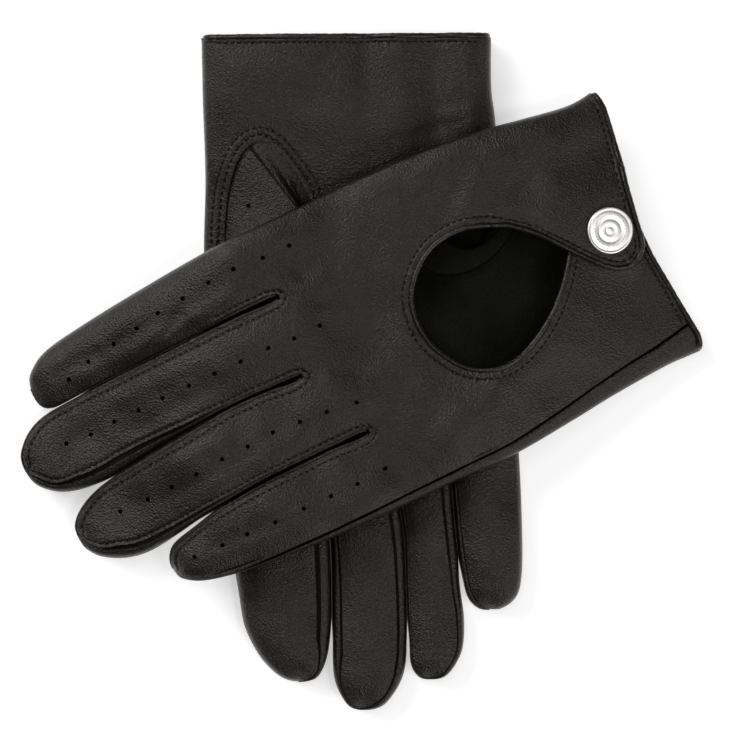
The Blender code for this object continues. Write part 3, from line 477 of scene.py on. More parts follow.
PERFORATIONS = [
    [(33, 193.5), (35.5, 185.3), (37.2, 175.3), (38.6, 166.3), (40.2, 158), (41.1, 148.6), (42.2, 138.8),
     (42.7, 129.7), (42, 119.5), (42, 110)],
    [(14.5, 203), (13.8, 194.5), (14.3, 185.8), (14.3, 177), (14.6, 168.2), (14.6, 158.7), (14.6, 149.5),
     (14.6, 140.2), (14.8, 130.2), (14, 121.3), (14.3, 112)],
    [(-13, 196.3), (-13.2, 186.5), (-12.8, 177.7), (-12.4, 168.6), (-11.5, 159), (-11.3, 149.7), (-10.6, 140.4),
     (-11.2, 131), (-12, 121.8), (-13.3, 111.7)],
    [(-36.4, 180.5), (-36.8, 170.7), (-36.9, 161.8), (-37.3, 152), (-37.2, 141.7), (-37.3, 132), (-37.3, 122.6),
     (-36.6, 112.3)]]
PERFORATION_RADIUS = 0.75
WRAP_STEPS = (0.0, 0.75, 0.85, 1.0, 1.2, 1.45, 1.8, 2.4)     # points across the wrapped side, from its seam
WRAP_COLUMNS, WRAP_LEAST = 8, 3.4
THUMB_PERFORATIONS = [(31.7, 53.5), (30.0, 64.0), (28.0, 74.0), (26.0, 84.0), (24.5, 93.0)]
FINGERS = ("index", "middle", "ring", "little")


def thumb_ring(grow):
    """The opening's edge, or a line round it that far out. It runs clockwise and is closed."""
    edge = curve(THUMB_EDGE)
    ends = (edge[1] - edge[-2]) / np.linalg.norm(edge[1] - edge[-2])
    moved = offset(edge, grow)
    moved[0] = moved[-1] = edge[0] + np.array((-ends[1], ends[0])) * grow
    return moved


def prepare(glove):
    """The seam lines that the hide's relief follows."""
    glove.arch = thumb_ring(0.0)
    glove.edges = {(side, gap, which): finger_side(glove, side, gap, which)
                   for side in (1, -1) for gap in range(3) for which in (0, 1)}
    glove.wrap_edge = panel_side(glove.seam, glove.insets["wrap"], -1)
    glove.back_rows = []
    for (side, gap, which), (_, edge) in glove.edges.items():
        if side > 0:
            row = offset(edge, (1 if which else -1) * EDGE_ROWS[which])
            hidden = gap == 0 and which == 0 and glove.back_up
            glove.back_rows.append(row[row[:, 1] < ROLLED_UNDER] if hidden else row)
    glove.palm_seams = [edge for (side, _, _), (_, edge) in glove.edges.items() if side < 0]


def loop_of(glove, side):
    """The closed outline of the back or the palm panel, without the tab."""
    cuff = np.array(glove.cuffs[side], float) + (0.0, BINDING_RADIUS)
    seam = glove.wrap_edge if side > 0 else glove.seam
    seam = seam[seam[:, 1] > along(cuff, seam[:, 0]) + 0.2]
    fold = glove.fold[glove.fold[:, 1] > along(cuff, 46.5) + 0.2]
    chain = [fold]
    for gap in range(3):
        chain += [glove.edges[side, gap, 0][1][::-1][1:], glove.edges[side, gap, 1][1][1:]]
    chain += [seam[::-1][1:]]
    mouth = respaced(cuff, 1.0)
    first = seam[0][0]
    if side > 0:
        flap = mouth[(mouth[:, 0] > first) & (mouth[:, 0] < TAB_FLAP_END)]
        keyhole = offset(glove.keyhole, 0.6)
        slit = np.column_stack((np.full(SLIT_POINTS, TAB_HINGE[0]),
                                np.linspace(TAB_HINGE[1], along(cuff, TAB_HINGE[0]), SLIT_POINTS)))
        thumb_side = mouth[(mouth[:, 0] > TAB_HINGE[0] + 0.2) & (mouth[:, 0] < fold[0][0])]
        flap_end = np.column_stack((np.full(8, TAB_FLAP_END), np.linspace(flap[-1][1], 11.0, 8)))
        chain += [flap, flap_end, keyhole[::-1][1:-1], slit, thumb_side]
    else:
        chain += [mouth[(mouth[:, 0] > first) & (mouth[:, 0] < fold[0][0])]]
    return np.vstack(chain)


def clean_loop(loop, least=0.25):
    kept = [loop[0]]
    for p in loop[1:]:
        if np.hypot(*(p - kept[-1])) > least:
            kept.append(p)
    while np.hypot(*(kept[-1] - kept[0])) < least:
        kept.pop()
    return np.array(kept)


def inside(spots, loop):
    found = np.zeros(len(spots), bool)
    x, y = spots[:, 0], spots[:, 1]
    for (ax, ay), (bx, by) in zip(loop, np.roll(loop, -1, axis=0)):
        if ay == by:
            continue
        crossing = ((ay > y) != (by > y)) & (x < ax + (bx - ax) * (y - ay) / (by - ay))
        found ^= crossing
    return found


def circle(centre, radius, count=12):
    angles = np.arange(count) * 2 * math.pi / count
    return np.column_stack((centre[0] + radius * np.cos(angles), centre[1] + radius * np.sin(angles)))


def doubled_area(flat, tris):
    """Twice each flat triangle's area, negative for one that turns clockwise."""
    a, b, c = (flat[tris[:, k]] for k in range(3))
    return (b[:, 0] - a[:, 0]) * (c[:, 1] - a[:, 1]) - (b[:, 1] - a[:, 1]) * (c[:, 0] - a[:, 0])


def cut_pattern(loop, holes, rows, spacing=GRAIN):
    """A flat pattern piece as triangles, finer along its stitch rows."""
    loops = [clean_loop(loop), *holes]
    points = []
    edges = []
    for ring in loops:
        first = len(points)
        points += [tuple(p) for p in ring]
        edges += [(first + i, first + (i + 1) % len(ring)) for i in range(len(ring))]
    extra = []
    for row, aways, step, least in rows:
        for away in aways:
            extra.append((respaced(offset(row, away), step), least))
    low, high = loops[0].min(axis=0), loops[0].max(axis=0)
    ys = np.arange(low[1], high[1], spacing * 0.87)
    for j, y in enumerate(ys):
        xs = np.arange(low[0] + (j % 2) * spacing / 2, high[0], spacing)
        extra.append((np.column_stack((xs, np.full(len(xs), y))), 0.72 * spacing))
    kept = list(points)
    cells = {}

    def cell(p):
        return int(p[0] // 1.0), int(p[1] // 1.0)

    def taken(p, least):
        ix, iy = cell(p)
        for a in (ix - 1, ix, ix + 1):
            for b in (iy - 1, iy, iy + 1):
                for q in cells.get((a, b), ()):
                    if (q[0] - p[0]) ** 2 + (q[1] - p[1]) ** 2 < least * least:
                        return True
        return False

    for p in points:
        cells.setdefault(cell(p), []).append(p)
    for part, least in extra:
        ok = inside(part, loops[0])
        for hole in holes:
            ok &= ~inside(part, hole)
        for p in part[ok]:
            spot = (float(p[0]), float(p[1]))
            if not taken(spot, least):
                kept.append(spot)
                cells.setdefault(cell(spot), []).append(spot)
    verts, _, faces, *_ = delaunay_2d_cdt([Vector(p) for p in kept], edges, [], 0, 1e-5)
    flat = np.array([tuple(v) for v in verts])
    tris = np.array([tuple(f) for f in faces if len(f) == 3])
    middle = (flat[tris[:, 0]] + flat[tris[:, 1]] + flat[tris[:, 2]]) / 3
    good = (np.abs(doubled_area(flat, tris)) / 2 > 1e-4) & inside(middle, loops[0])
    for hole in holes:
        good &= ~inside(middle, hole)
    tris = tris[good]
    turned = doubled_area(flat, tris) < 0
    tris[turned] = tris[turned][:, ::-1]
    return flat, tris


def stitch_rows(*chains):
    """Points along stitch rows, fine enough for their puckers."""
    return [(chain, (0.0, -0.45, 0.45, -0.9, 0.9), 0.62, 0.33) for chain in chains]


class Sheet:
    """A sheet of hide as points with an outside, an inside and triangles between them."""

    def __init__(self, flat, tris, outer, inner, outward, pattern):
        self.flat, self.tris, self.outer, self.inner = flat, tris, outer, inner
        self.pattern = pattern
        a, b, c = (outer[tris[:, k]] for k in range(3))
        facing = np.cross(b - a, c - a)
        if (facing * outward).sum() < 0:
            self.tris = tris[:, ::-1].copy()
            facing = -facing
        self.normals = np.zeros_like(outer)
        for k in range(3):
            np.add.at(self.normals, self.tris[:, k], facing)
        self.closed = np.linalg.norm(outer - inner, axis=1) < 0.05 * MM


def weld_normals(sheets):
    """Sheets that meet share one normal where they touch, so that no join shows."""
    spots = np.vstack([s.outer for s in sheets])
    sums = np.vstack([s.normals for s in sheets])
    keys = np.round(spots / (0.02 * MM)).astype(np.int64)
    _, index = np.unique(keys, axis=0, return_inverse=True)
    index = index.ravel()
    total = np.zeros((index.max() + 1, 3))
    np.add.at(total, index, sums)
    sums = total[index]
    sums /= np.maximum(np.linalg.norm(sums, axis=1), 1e-20)[:, None]
    start = 0
    for s in sheets:
        s.normals = sums[start:start + len(s.outer)]
        start += len(s.outer)


def border(tris):
    """Edges that only one triangle uses, in that triangle's way round."""
    edges = np.vstack((tris[:, [0, 1]], tris[:, [1, 2]], tris[:, [2, 0]]))
    low_high = np.sort(edges, axis=1)
    _, index, count = np.unique(low_high, axis=0, return_inverse=True, return_counts=True)
    return edges[count[index.ravel()] == 1]


def build_piece(name, parts, materials):
    """One object from (sheet, kept triangles) parts: outside, inside and the cut edges between."""
    spots, faces, finish, corners, patterns = [], [], [], [], []
    start = 0
    for sheet, mask in parts:
        tris = sheet.tris[mask]
        rim = border(sheet.tris)
        used = np.unique(tris)
        back = np.full(len(sheet.outer), -1)
        back[used] = np.arange(len(used))
        count = len(used)
        normals = sheet.normals[used]
        closed = sheet.closed[used]
        inner_index = np.where(closed, np.arange(count), count + np.cumsum(~closed) - 1)
        spots += [sheet.outer[used], sheet.inner[used][~closed]]
        patterns += [sheet.pattern[used], sheet.pattern[used][~closed]]
        outer = back[tris]
        inner = inner_index[outer][:, ::-1]
        faces += [tuple(f) for f in (outer + start)] + [tuple(f) for f in (inner + start)]
        finish += [0] * len(outer) + [1] * len(inner)
        corners += [normals[outer].reshape(-1, 3), -normals[outer[:, ::-1]].reshape(-1, 3)]
        rim = rim[(back[rim[:, 0]] >= 0) & (back[rim[:, 1]] >= 0)]
        own = {tuple(sorted(e)) for e in np.sort(border(tris), axis=1).tolist()}
        for a, b in rim:
            if tuple(sorted((int(a), int(b)))) not in own:
                continue
            i, j = back[a], back[b]
            ring = [j, i, inner_index[i], inner_index[j]]
            ring = [v for k, v in enumerate(ring) if v not in ring[:k]]
            if len(ring) >= 3:
                faces.append(tuple(int(v) + start for v in ring))
                finish.append(0)
                corners.append(np.zeros((len(ring), 3)))
        start += count + int((~closed).sum())
    mesh = bpy.data.meshes.new(name)
    mesh.from_pydata(np.vstack(spots).tolist(), [], faces)
    for made in materials:
        mesh.materials.append(made)
    mesh.polygons.foreach_set("material_index", np.array(finish, np.int32))
    mesh.polygons.foreach_set("use_smooth", np.ones(len(faces), bool))
    store_pattern(mesh, np.vstack(patterns))
    mesh.normals_split_custom_set(np.vstack(corners).tolist())
    mesh.update()
    made = bpy.data.objects.new(name, mesh)
    bpy.context.scene.collection.objects.link(made)
    return made


def store_pattern(mesh, pattern):
    """Where each point is on the flat hide, in metres: the leather's grain follows it."""
    layer = mesh.attributes.new("hide", "FLOAT_VECTOR", "POINT")
    layer.data.foreach_set("vector", np.ascontiguousarray(pattern, np.float32).ravel())


def add_mesh(name, spots, faces, material, pattern=None):
    mesh = bpy.data.meshes.new(name)
    mesh.from_pydata(np.asarray(spots).tolist(), [], [tuple(int(i) for i in f) for f in faces])
    mesh.materials.append(material)
    mesh.polygons.foreach_set("use_smooth", np.ones(len(mesh.polygons), bool))
    store_pattern(mesh, np.asarray(spots) if pattern is None else pattern)
    mesh.update()
    made = bpy.data.objects.new(name, mesh)
    bpy.context.scene.collection.objects.link(made)
    return made


# ---------------------------------------------------------------------------------------- materials

def nodes_of(name):
    made = bpy.data.materials.new(name)
    made.use_nodes = True
    tree = made.node_tree
    return made, tree, tree.nodes["Principled BSDF"]


LIGHT_BROWN = (1.0, 0.92, 0.84)
SHINE_SPREAD = 0.035


def leather(name, dark, light, roughness, grain, pebble, cuff_pebble=0.0, shine_level=0.42):
    """Dyed hide: blotchy colour, a fine pore grain and a coarser one that grows towards the cuff."""
    made, tree, shader = nodes_of(name)
    links = tree.links
    place = tree.nodes.new("ShaderNodeAttribute")
    place.attribute_name = "hide"

    def noise(scale, detail, rough=0.55):
        node = tree.nodes.new("ShaderNodeTexNoise")
        node.inputs["Scale"].default_value = scale
        node.inputs["Detail"].default_value = detail
        node.inputs["Roughness"].default_value = rough
        links.new(place.outputs["Vector"], node.inputs["Vector"])
        return node.outputs["Fac"]

    def spread(value, low, high, to_low=0.0, to_high=1.0):
        node = tree.nodes.new("ShaderNodeMapRange")
        for socket, number in zip(("From Min", "From Max", "To Min", "To Max"), (low, high, to_low, to_high)):
            node.inputs[socket].default_value = number
        links.new(value, node.inputs["Value"])
        return node.outputs["Result"]

    def math_node(operation, *values):
        node = tree.nodes.new("ShaderNodeMath")
        node.operation = operation
        for socket, value in zip(node.inputs, values):
            if isinstance(value, float):
                socket.default_value = value
            else:
                links.new(value, socket)
        return node.outputs["Value"]

    def bumped(height, strength, distance, before=None):
        node = tree.nodes.new("ShaderNodeBump")
        node.inputs["Strength"].default_value = strength
        node.inputs["Distance"].default_value = distance
        links.new(height, node.inputs["Height"])
        if before:
            links.new(before, node.inputs["Normal"])
        return node.outputs["Normal"]

    mix = tree.nodes.new("ShaderNodeMix")
    mix.data_type = "RGBA"
    mix.inputs["A"].default_value = (*dark, 1.0)
    mix.inputs["B"].default_value = (*light, 1.0)
    links.new(spread(noise(42.0, 4.0), 0.32, 0.68), mix.inputs["Factor"])
    fine = noise(2200.0, 2.0)
    speck = tree.nodes.new("ShaderNodeMix")
    speck.data_type = "RGBA"
    speck.blend_type = "MULTIPLY"
    speck.inputs["Factor"].default_value = 0.8
    links.new(mix.outputs["Result"], speck.inputs["A"])
    links.new(spread(fine, 0.35, 0.62, 0.4, 1.25), speck.inputs["B"])
    links.new(speck.outputs["Result"], shader.inputs["Base Color"])
    shine = spread(noise(160.0, 4.0), 0.25, 0.75, roughness - SHINE_SPREAD, roughness + SHINE_SPREAD)
    links.new(shine, shader.inputs["Roughness"])
    pores = tree.nodes.new("ShaderNodeTexVoronoi")
    pores.inputs["Scale"].default_value = 1500.0
    links.new(place.outputs["Vector"], pores.inputs["Vector"])
    skin = math_node("MULTIPLY_ADD", pores.outputs["Distance"], 0.8, fine)
    coarse = noise(430.0, 3.0, 0.62)
    if cuff_pebble:
        where = tree.nodes.new("ShaderNodeSeparateXYZ")
        links.new(place.outputs["Vector"], where.inputs["Vector"])
        near = spread(where.outputs["Y"], 0.11, 0.02, 1.0, cuff_pebble)
        coarse = math_node("MULTIPLY", coarse, near)
    shaped = bumped(coarse, pebble, 0.0006, bumped(skin, grain, 0.0003))
    links.new(shaped, shader.inputs["Normal"])
    shader.inputs["Specular IOR Level"].default_value = shine_level
    shader.inputs["Specular Tint"].default_value = (*LIGHT_BROWN, 1.0)
    return made


def metal(name, color, roughness, brushed):
    made, tree, shader = nodes_of(name)
    place = tree.nodes.new("ShaderNodeTexCoord")
    noise = tree.nodes.new("ShaderNodeTexNoise")
    noise.inputs["Scale"].default_value = 900.0
    noise.inputs["Detail"].default_value = 4.0
    tree.links.new(place.outputs["Object"], noise.inputs["Vector"])
    shine = tree.nodes.new("ShaderNodeMapRange")
    shine.inputs["To Min"].default_value = roughness - 0.04
    shine.inputs["To Max"].default_value = roughness + 0.08
    tree.links.new(noise.outputs["Fac"], shine.inputs["Value"])
    tree.links.new(shine.outputs["Result"], shader.inputs["Roughness"])
    tint = tree.nodes.new("ShaderNodeMix")
    tint.data_type = "RGBA"
    tint.inputs["A"].default_value = (*color, 1.0)
    tint.inputs["B"].default_value = (*(c * 0.82 for c in color), 1.0)
    tree.links.new(noise.outputs["Fac"], tint.inputs["Factor"])
    tree.links.new(tint.outputs["Result"], shader.inputs["Base Color"])
    shader.inputs["Metallic"].default_value = 1.0
    marks = tree.nodes.new("ShaderNodeBump")
    marks.inputs["Strength"].default_value = brushed
    marks.inputs["Distance"].default_value = 0.00005
    tree.links.new(noise.outputs["Fac"], marks.inputs["Height"])
    tree.links.new(marks.outputs["Normal"], shader.inputs["Normal"])
    return made


BACK = leather("nappa_back", (0.0040, 0.0031, 0.0025), (0.0085, 0.0068, 0.0056), 0.31, 0.66, 0.05)
PALM = leather("nappa_palm", (0.0042, 0.0033, 0.0026), (0.0090, 0.0072, 0.0060), 0.31, 0.80, 0.09, 3.6)
SIDE = leather("nappa_fourchette", (0.0040, 0.0031, 0.0025), (0.0075, 0.0060, 0.0050), 0.31, 0.65, 0.08)
BOUND = leather("nappa_binding", (0.0040, 0.0031, 0.0026), (0.0075, 0.0060, 0.0052), 0.27, 0.40, 0.06)
SUEDE = leather("suede_inside", (0.0026, 0.0030, 0.0026), (0.0085, 0.0092, 0.0080), 0.95, 1.0, 0.6, 0.0, 0.10)
THREAD = leather("black_thread", (0.0018, 0.0016, 0.0014), (0.0040, 0.0036, 0.0032), 0.65, 0.6, 0.4, 0.0, 0.12)
NICKEL = metal("polished_nickel", (0.95, 0.94, 0.92), 0.34, 0.12)
STEEL = metal("plated_steel", (0.52, 0.52, 0.52), 0.30, 0.35)


# ------------------------------------------------------------------------------------------- pieces

def point_at(glove, x, y, w):
    return Vector(glove.place(x, y, w)[0])


FINGER_MIDDLES = {"left": (38.0, 13.0, -12.0, -37.0), "right": (20.0, -7.0, -27.0, -46.0)}


def blend_finger(glove, index, made):
    """Bakes the piece's transform into its points. The ends of its finger's joint, at the bend, are worked out
    but not used.
    """
    bend = glove.bends[index]
    middle = FINGER_MIDDLES[glove.name][index]
    start = point_at(glove, middle, bend - BLEND_BEFORE, 0.0)
    end = point_at(glove, middle, bend + BLEND_AFTER, 0.0)
    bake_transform(made)


def blend_tab(glove, made):
    start, end = (point_at(glove, x, *TAB_BEND_MIDDLE) for x in TAB_BEND)
    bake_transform(made)


def finger_masks(glove, sheet, cut=CUT_BEFORE):
    """Which triangles go to the hand (first) and to each finger."""
    middle = sheet.flat[sheet.tris].mean(axis=1)
    which = glove.finger_of(middle[:, 0], middle[:, 1])
    limit = np.array([b - cut for b in glove.bends])[which]
    out = [middle[:, 1] < limit]
    for index in range(4):
        out.append((middle[:, 1] >= limit) & (which == index))
    return out


# Each panel is cut from its own part of the hide.
PATTERN_SHIFT = {("left", 1): 0.0, ("left", -1): 0.5, ("right", 1): 1.0, ("right", -1): 1.5}


def pattern_of(glove, side, x, y, w):
    return np.column_stack((x * MM + PATTERN_SHIFT[glove.name, side], y * MM, w * MM))


def hide(glove, side, flat, tris, tab=False):
    x, y = flat[:, 0], flat[:, 1]
    w = glove.outside(side, x, y, tab)
    under = np.minimum(LEATHER, np.abs(w) * 0.8)
    outer = glove.place(x, y, w)
    inner = glove.place(x, y, w - side * under)
    outward = np.array((0.0, 0.0, 1.0)) * (side if glove.back_up else -side)
    return Sheet(flat, tris, outer, inner, outward, pattern_of(glove, side, x, y, w))


def grid_tris(rows, columns, closed=False):
    """Two triangles for each cell of a grid of points, which may join itself across."""
    tris = []
    for i in range(rows - 1):
        for k in range(columns if closed else columns - 1):
            a, b = i * columns + k, i * columns + (k + 1) % columns
            tris += [(a, b, b + columns), (a, b + columns, a + columns)]
    return np.array(tris)


def grid_sheet(rows, point):
    """A strip of hide: rows of (x, y, w) points from point(i, v), v from 0 to 1 across."""
    columns = STRIP_COLUMNS
    pts = np.array([[point(i, k / (columns - 1)) for k in range(columns)] for i in range(rows)])
    return pts.reshape(-1, 3), grid_tris(rows, columns)


def drop_slivers(tris, spots, least=1e-10):
    a, b, c = (spots[tris[:, k]] for k in range(3))
    return tris[np.linalg.norm(np.cross(b - a, c - a), axis=1) > least]


def fourchette(glove, gap, which):
    """The strip up one side of a finger, from the back's edge round to the palm's edge."""
    index = gap if which == 0 else gap + 1
    inward = 1 if which == 1 else -1
    outline, back = glove.edges[1, gap, which]
    _, palm = glove.edges[-1, gap, which]
    back_in, palm_in = offset(back, inward * STRIP_TUCK), offset(palm, inward * STRIP_TUCK)
    high = glove.body(back[:, 0], back[:, 1]) - STRIP_UNDER
    low = glove.body(palm[:, 0], palm[:, 1]) - STRIP_UNDER
    run = run_along(outline)
    line = glove.gap_lines[gap]
    to_line = np.abs(outline[:, 0] - np.interp(outline[:, 1], line[:, 0], line[:, 1])) - FINGERS_APART
    beside = smooth(0.0, 14.0, run) * (1.0 - smooth(line[-1, 0] - 10.0, line[-1, 0], outline[:, 1]))
    alone = TIP_SWELL * smooth(0.0, 12.0, run) * (1.0 - beside)
    swell = np.clip(to_line, 0.0, STRIP_SWELL) * beside + alone
    lean = INTERLOCK * beside * inward
    way = tangents(outline)
    aside = np.column_stack((way[:, 1], -way[:, 0])) * inward

    def point(i, v):
        if v < STRIP_EDGE:
            return (*back_in[i], high[i] * 0.98)
        if v > 1.0 - STRIP_EDGE:
            return (*palm_in[i], -low[i] * 0.98)
        t = (v - STRIP_EDGE) / (1.0 - 2 * STRIP_EDGE)
        groove = STRIP_GROOVE * bump(min(t, 1.0 - t), 0.0, 0.1)
        edge, top, sign = (back[i], high[i], 1.0) if t <= 0.5 else (palm[i], low[i], -1.0)
        a = min(t, 1.0 - t) * math.pi
        out = outline[i] + aside[i] * (swell[i] + lean[i] * math.sin(2 * math.pi * t))
        xy = edge + (out - edge) * math.sin(a) ** STRIP_SQUARE
        return (xy[0], xy[1], sign * max(top * math.cos(a) - groove, 0.0))

    flat, tris = grid_sheet(len(outline), point)
    outer = glove.place(flat[:, 0], flat[:, 1], flat[:, 2])
    tris = drop_slivers(tris, outer)
    world = np.column_stack((aside[:, 0] * glove.ex[0] + aside[:, 1] * glove.ey[0],
                             aside[:, 0] * glove.ex[1] + aside[:, 1] * glove.ey[1], np.zeros(len(aside))))
    normal = np.repeat(world, STRIP_COLUMNS, axis=0)
    inner = outer - normal * STRIP_LEATHER * MM
    mean = normal[tris[:, 0]]
    pattern = np.column_stack((flat[:, 2] * MM + 3.0 + gap + 0.3 * which, flat[:, 1] * MM,
                               flat[:, 0] * MM))
    return index, Sheet(flat[:, :2], tris, outer, inner, mean, pattern)


def wrap_sheet(glove):
    """The palm hide that comes round the little finger's side to the seam on the back."""
    outline, edge = glove.seam, glove.wrap_edge
    start = int(np.argmax(outline[:, 1] > glove.cuffs[1][0][1] - 3.5))
    outline, edge = outline[start:], edge[start:]
    tucked = offset(edge, -0.8)
    rows = len(outline)
    fine = np.array(WRAP_STEPS)
    eased = 1.0 - (1.0 - np.arange(1, WRAP_COLUMNS + 1) / WRAP_COLUMNS) ** 1.6
    spots = []
    for i in range(rows):
        wide = max(np.hypot(*(tucked[i] - outline[i])), 1e-6)
        near = fine / max(wide, WRAP_LEAST)
        shares = np.concatenate((near, near[-1] + (1.0 - near[-1]) * eased))
        spots.append(tucked[i] + (outline[i] - tucked[i]) * shares[:, None])
    spots = np.vstack(spots)
    spots[:, 1] = np.maximum(spots[:, 1], along(glove.cuffs[1], spots[:, 0]) + BINDING_RADIUS)
    x, y = spots[:, 0], spots[:, 1]
    from_edge = nearest(edge, x, y)[0]
    body = glove.body(x, y)
    w = body - np.minimum(1.9 * (1.0 - smooth(0.15, 1.0, from_edge)), body * 0.6)
    outer = glove.place(x, y, w)
    inner = glove.place(x, y, w - np.minimum(LEATHER, w * 0.8))
    tris = drop_slivers(grid_tris(rows, len(fine) + WRAP_COLUMNS), outer)
    outward = np.array((0.0, 0.0, 1.0 if glove.back_up else -1.0))
    return Sheet(spots, tris, outer, inner, outward, pattern_of(glove, -1, x, y, w))


def tube_mesh(path, radius, sides=10):
    """A round roll along a path of world points, closed at both ends or joined to itself."""
    closed = np.linalg.norm(path[0] - path[-1]) < 1e-6
    if closed:
        path = path[:-1]
    way = np.roll(path, -1, axis=0) - np.roll(path, 1, axis=0)
    if not closed:
        way[0], way[-1] = path[1] - path[0], path[-1] - path[-2]
    way /= np.linalg.norm(way, axis=1)[:, None]
    side = np.cross(way, (0.0, 0.0, 1.0))
    side /= np.maximum(np.linalg.norm(side, axis=1), 1e-9)[:, None]
    up = np.cross(side, way)
    angles = np.arange(sides) * 2 * math.pi / sides
    radius = np.broadcast_to(radius, len(path))
    around = np.cos(angles)[None, :, None] * side[:, None, :] + np.sin(angles)[None, :, None] * up[:, None, :]
    spots = path[:, None, :] + radius[:, None, None] * around
    count = len(path)
    spots = spots.reshape(-1, 3)
    faces = []
    for i in range(count if closed else count - 1):
        j = (i + 1) % count
        for k in range(sides):
            m = (k + 1) % sides
            faces.append((i * sides + k, i * sides + m, j * sides + m, j * sides + k))
    if not closed:
        faces.append(tuple(range(sides))[::-1])
        faces.append(tuple((count - 1) * sides + k for k in range(sides)))
    run = np.concatenate(([0.0], np.cumsum(np.linalg.norm(np.diff(path, axis=0), axis=1))))
    pattern = np.column_stack((np.repeat(run, sides) + 7.0, np.tile(angles * radius.mean(), count),
                               np.zeros(len(spots))))
    return spots, faces, pattern


def roll(name, path, seed):
    """A bound edge: a narrow strip rolled over it, a little uneven as sewn leather is."""
    path = respaced(path, 1.3 * MM)
    run = run_along(path) / MM
    ripple = 1.0 + 0.05 * np.cos(2 * math.pi * run / STITCH_PITCH) + 0.05 * waves(run, run * 0.0, 11.0, seed)
    spots, faces, pattern = tube_mesh(path, BINDING_RADIUS * MM * ripple)
    return add_mesh(name, spots, faces, BOUND, pattern)


def bindings(glove):
    side_w = LEATHER / 2
    hand = f"{glove.name}_hand"
    edge = respaced(glove.keyhole, 1.3)
    w = glove.outside(1, edge[:, 0], edge[:, 1]) - side_w
    made = roll(f"{glove.name}_keyhole_roll", glove.place(edge[:, 0], edge[:, 1], w), glove.seed)
    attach(made, hand)
    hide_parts(f"{glove.name}_keyhole_binding")

    edge = offset(glove.tab_edge, 0.7 * smooth(0.0, 6.0, run_along(glove.tab_edge)))
    edge = respaced(np.vstack((glove.keyhole[1], edge)), 1.3)
    w = glove.outside(1, edge[:, 0], edge[:, 1], tab=True) - side_w
    made = roll(f"{glove.name}_tab_roll", glove.place(edge[:, 0], edge[:, 1], w), glove.seed + 5)
    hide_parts(f"{glove.name}_tab_binding")
    blend_tab(glove, made)

    chain = []
    seam_x = float(glove.seam[4][0]) + BINDING_RADIUS
    fold_x = float(glove.fold[4][0]) - BINDING_RADIUS
    stretches = ((1, 10.0, seam_x + 1.0), (-1, seam_x + 1.0, fold_x - 1.0), (1, fold_x - 1.0, TAB_HINGE[0]))
    for side, start, end in stretches:
        if chain:
            at = seam_x if end > start and side < 0 else fold_x
            y = along(glove.cuffs[-1], at) + BINDING_RADIUS
            chain.append(glove.place(at - 0.3 * np.sign(at), y, 0.0))
        x = np.linspace(start, end, max(2, int(abs(end - start) / 1.5)))
        y = along(glove.cuffs[side], x) + BINDING_RADIUS
        w = glove.outside(side, x, y + 0.6) - side * side_w
        chain.append(glove.place(x, y, w))
    path = curve(np.vstack(chain), 1.2 * MM)
    made = roll(f"{glove.name}_cuff_roll", path, glove.seed + 9)
    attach(made, hand)
    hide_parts(f"{glove.name}_cuff_binding")


STITCH_RINGS = [(-0.5, 0.14, -0.30), (-0.34, 0.21, 0.02), (0.0, 0.24, 0.12), (0.34, 0.21, 0.02),
                (0.5, 0.14, -0.30)]      # (along, radius, height) of a stitch, in its length and in mm
STITCH_LENGTH = 1.75
STITCH_SIDES = 6


def at_run(chain, run, s):
    """Points of the chain at lengths along it."""
    return np.column_stack((np.interp(s, run, chain[:, 0]), np.interp(s, run, chain[:, 1])))


def stitch_mesh(glove, side, chain, tab=False, phase=0.5):
    """Threads laid along a row, one stitch for each pitch, dipping into the hide at both ends."""
    run = run_along(chain)
    at = np.arange(phase * STITCH_PITCH, run[-1] - 0.3 * STITCH_PITCH, STITCH_PITCH)
    spots = []
    patterns = []
    for share, radius, height in STITCH_RINGS:
        s = np.clip(at + share * STITCH_LENGTH, 0.0, run[-1])
        x, y = np.interp(s, run, chain[:, 0]), np.interp(s, run, chain[:, 1])
        ahead = at_run(chain, run, s + 0.2) - at_run(chain, run, s - 0.2)
        ahead /= np.maximum(np.linalg.norm(ahead, axis=1), 1e-9)[:, None]
        w = glove.outside(side, x, y, tab)
        for k in range(STITCH_SIDES):
            a = 2 * math.pi * k / STITCH_SIDES
            ox, oy = -ahead[:, 1] * radius * math.cos(a), ahead[:, 0] * radius * math.cos(a)
            spots.append(glove.place(x + ox, y + oy, w + side * (height + radius * math.sin(a))))
            patterns.append(np.column_stack((s * MM, np.full(len(s), a * radius * MM), np.zeros(len(s)))))
    count = len(at)
    spots = np.stack(spots, axis=1).reshape(-1, 3)
    patterns = np.stack(patterns, axis=1).reshape(-1, 3)
    rings = len(STITCH_RINGS)
    faces = []
    for n in range(count):
        base = n * rings * STITCH_SIDES
        for r in range(rings - 1):
            for k in range(STITCH_SIDES):
                m = (k + 1) % STITCH_SIDES
                a, b = base + r * STITCH_SIDES + k, base + r * STITCH_SIDES + m
                faces.append((a, b, b + STITCH_SIDES, a + STITCH_SIDES))
        faces.append(tuple(base + k for k in range(STITCH_SIDES))[::-1])
        faces.append(tuple(base + (rings - 1) * STITCH_SIDES + k for k in range(STITCH_SIDES)))
    if (side > 0) != glove.back_up:
        faces = [f[::-1] for f in faces]
    return spots, faces, patterns, at_run(chain, run, at)


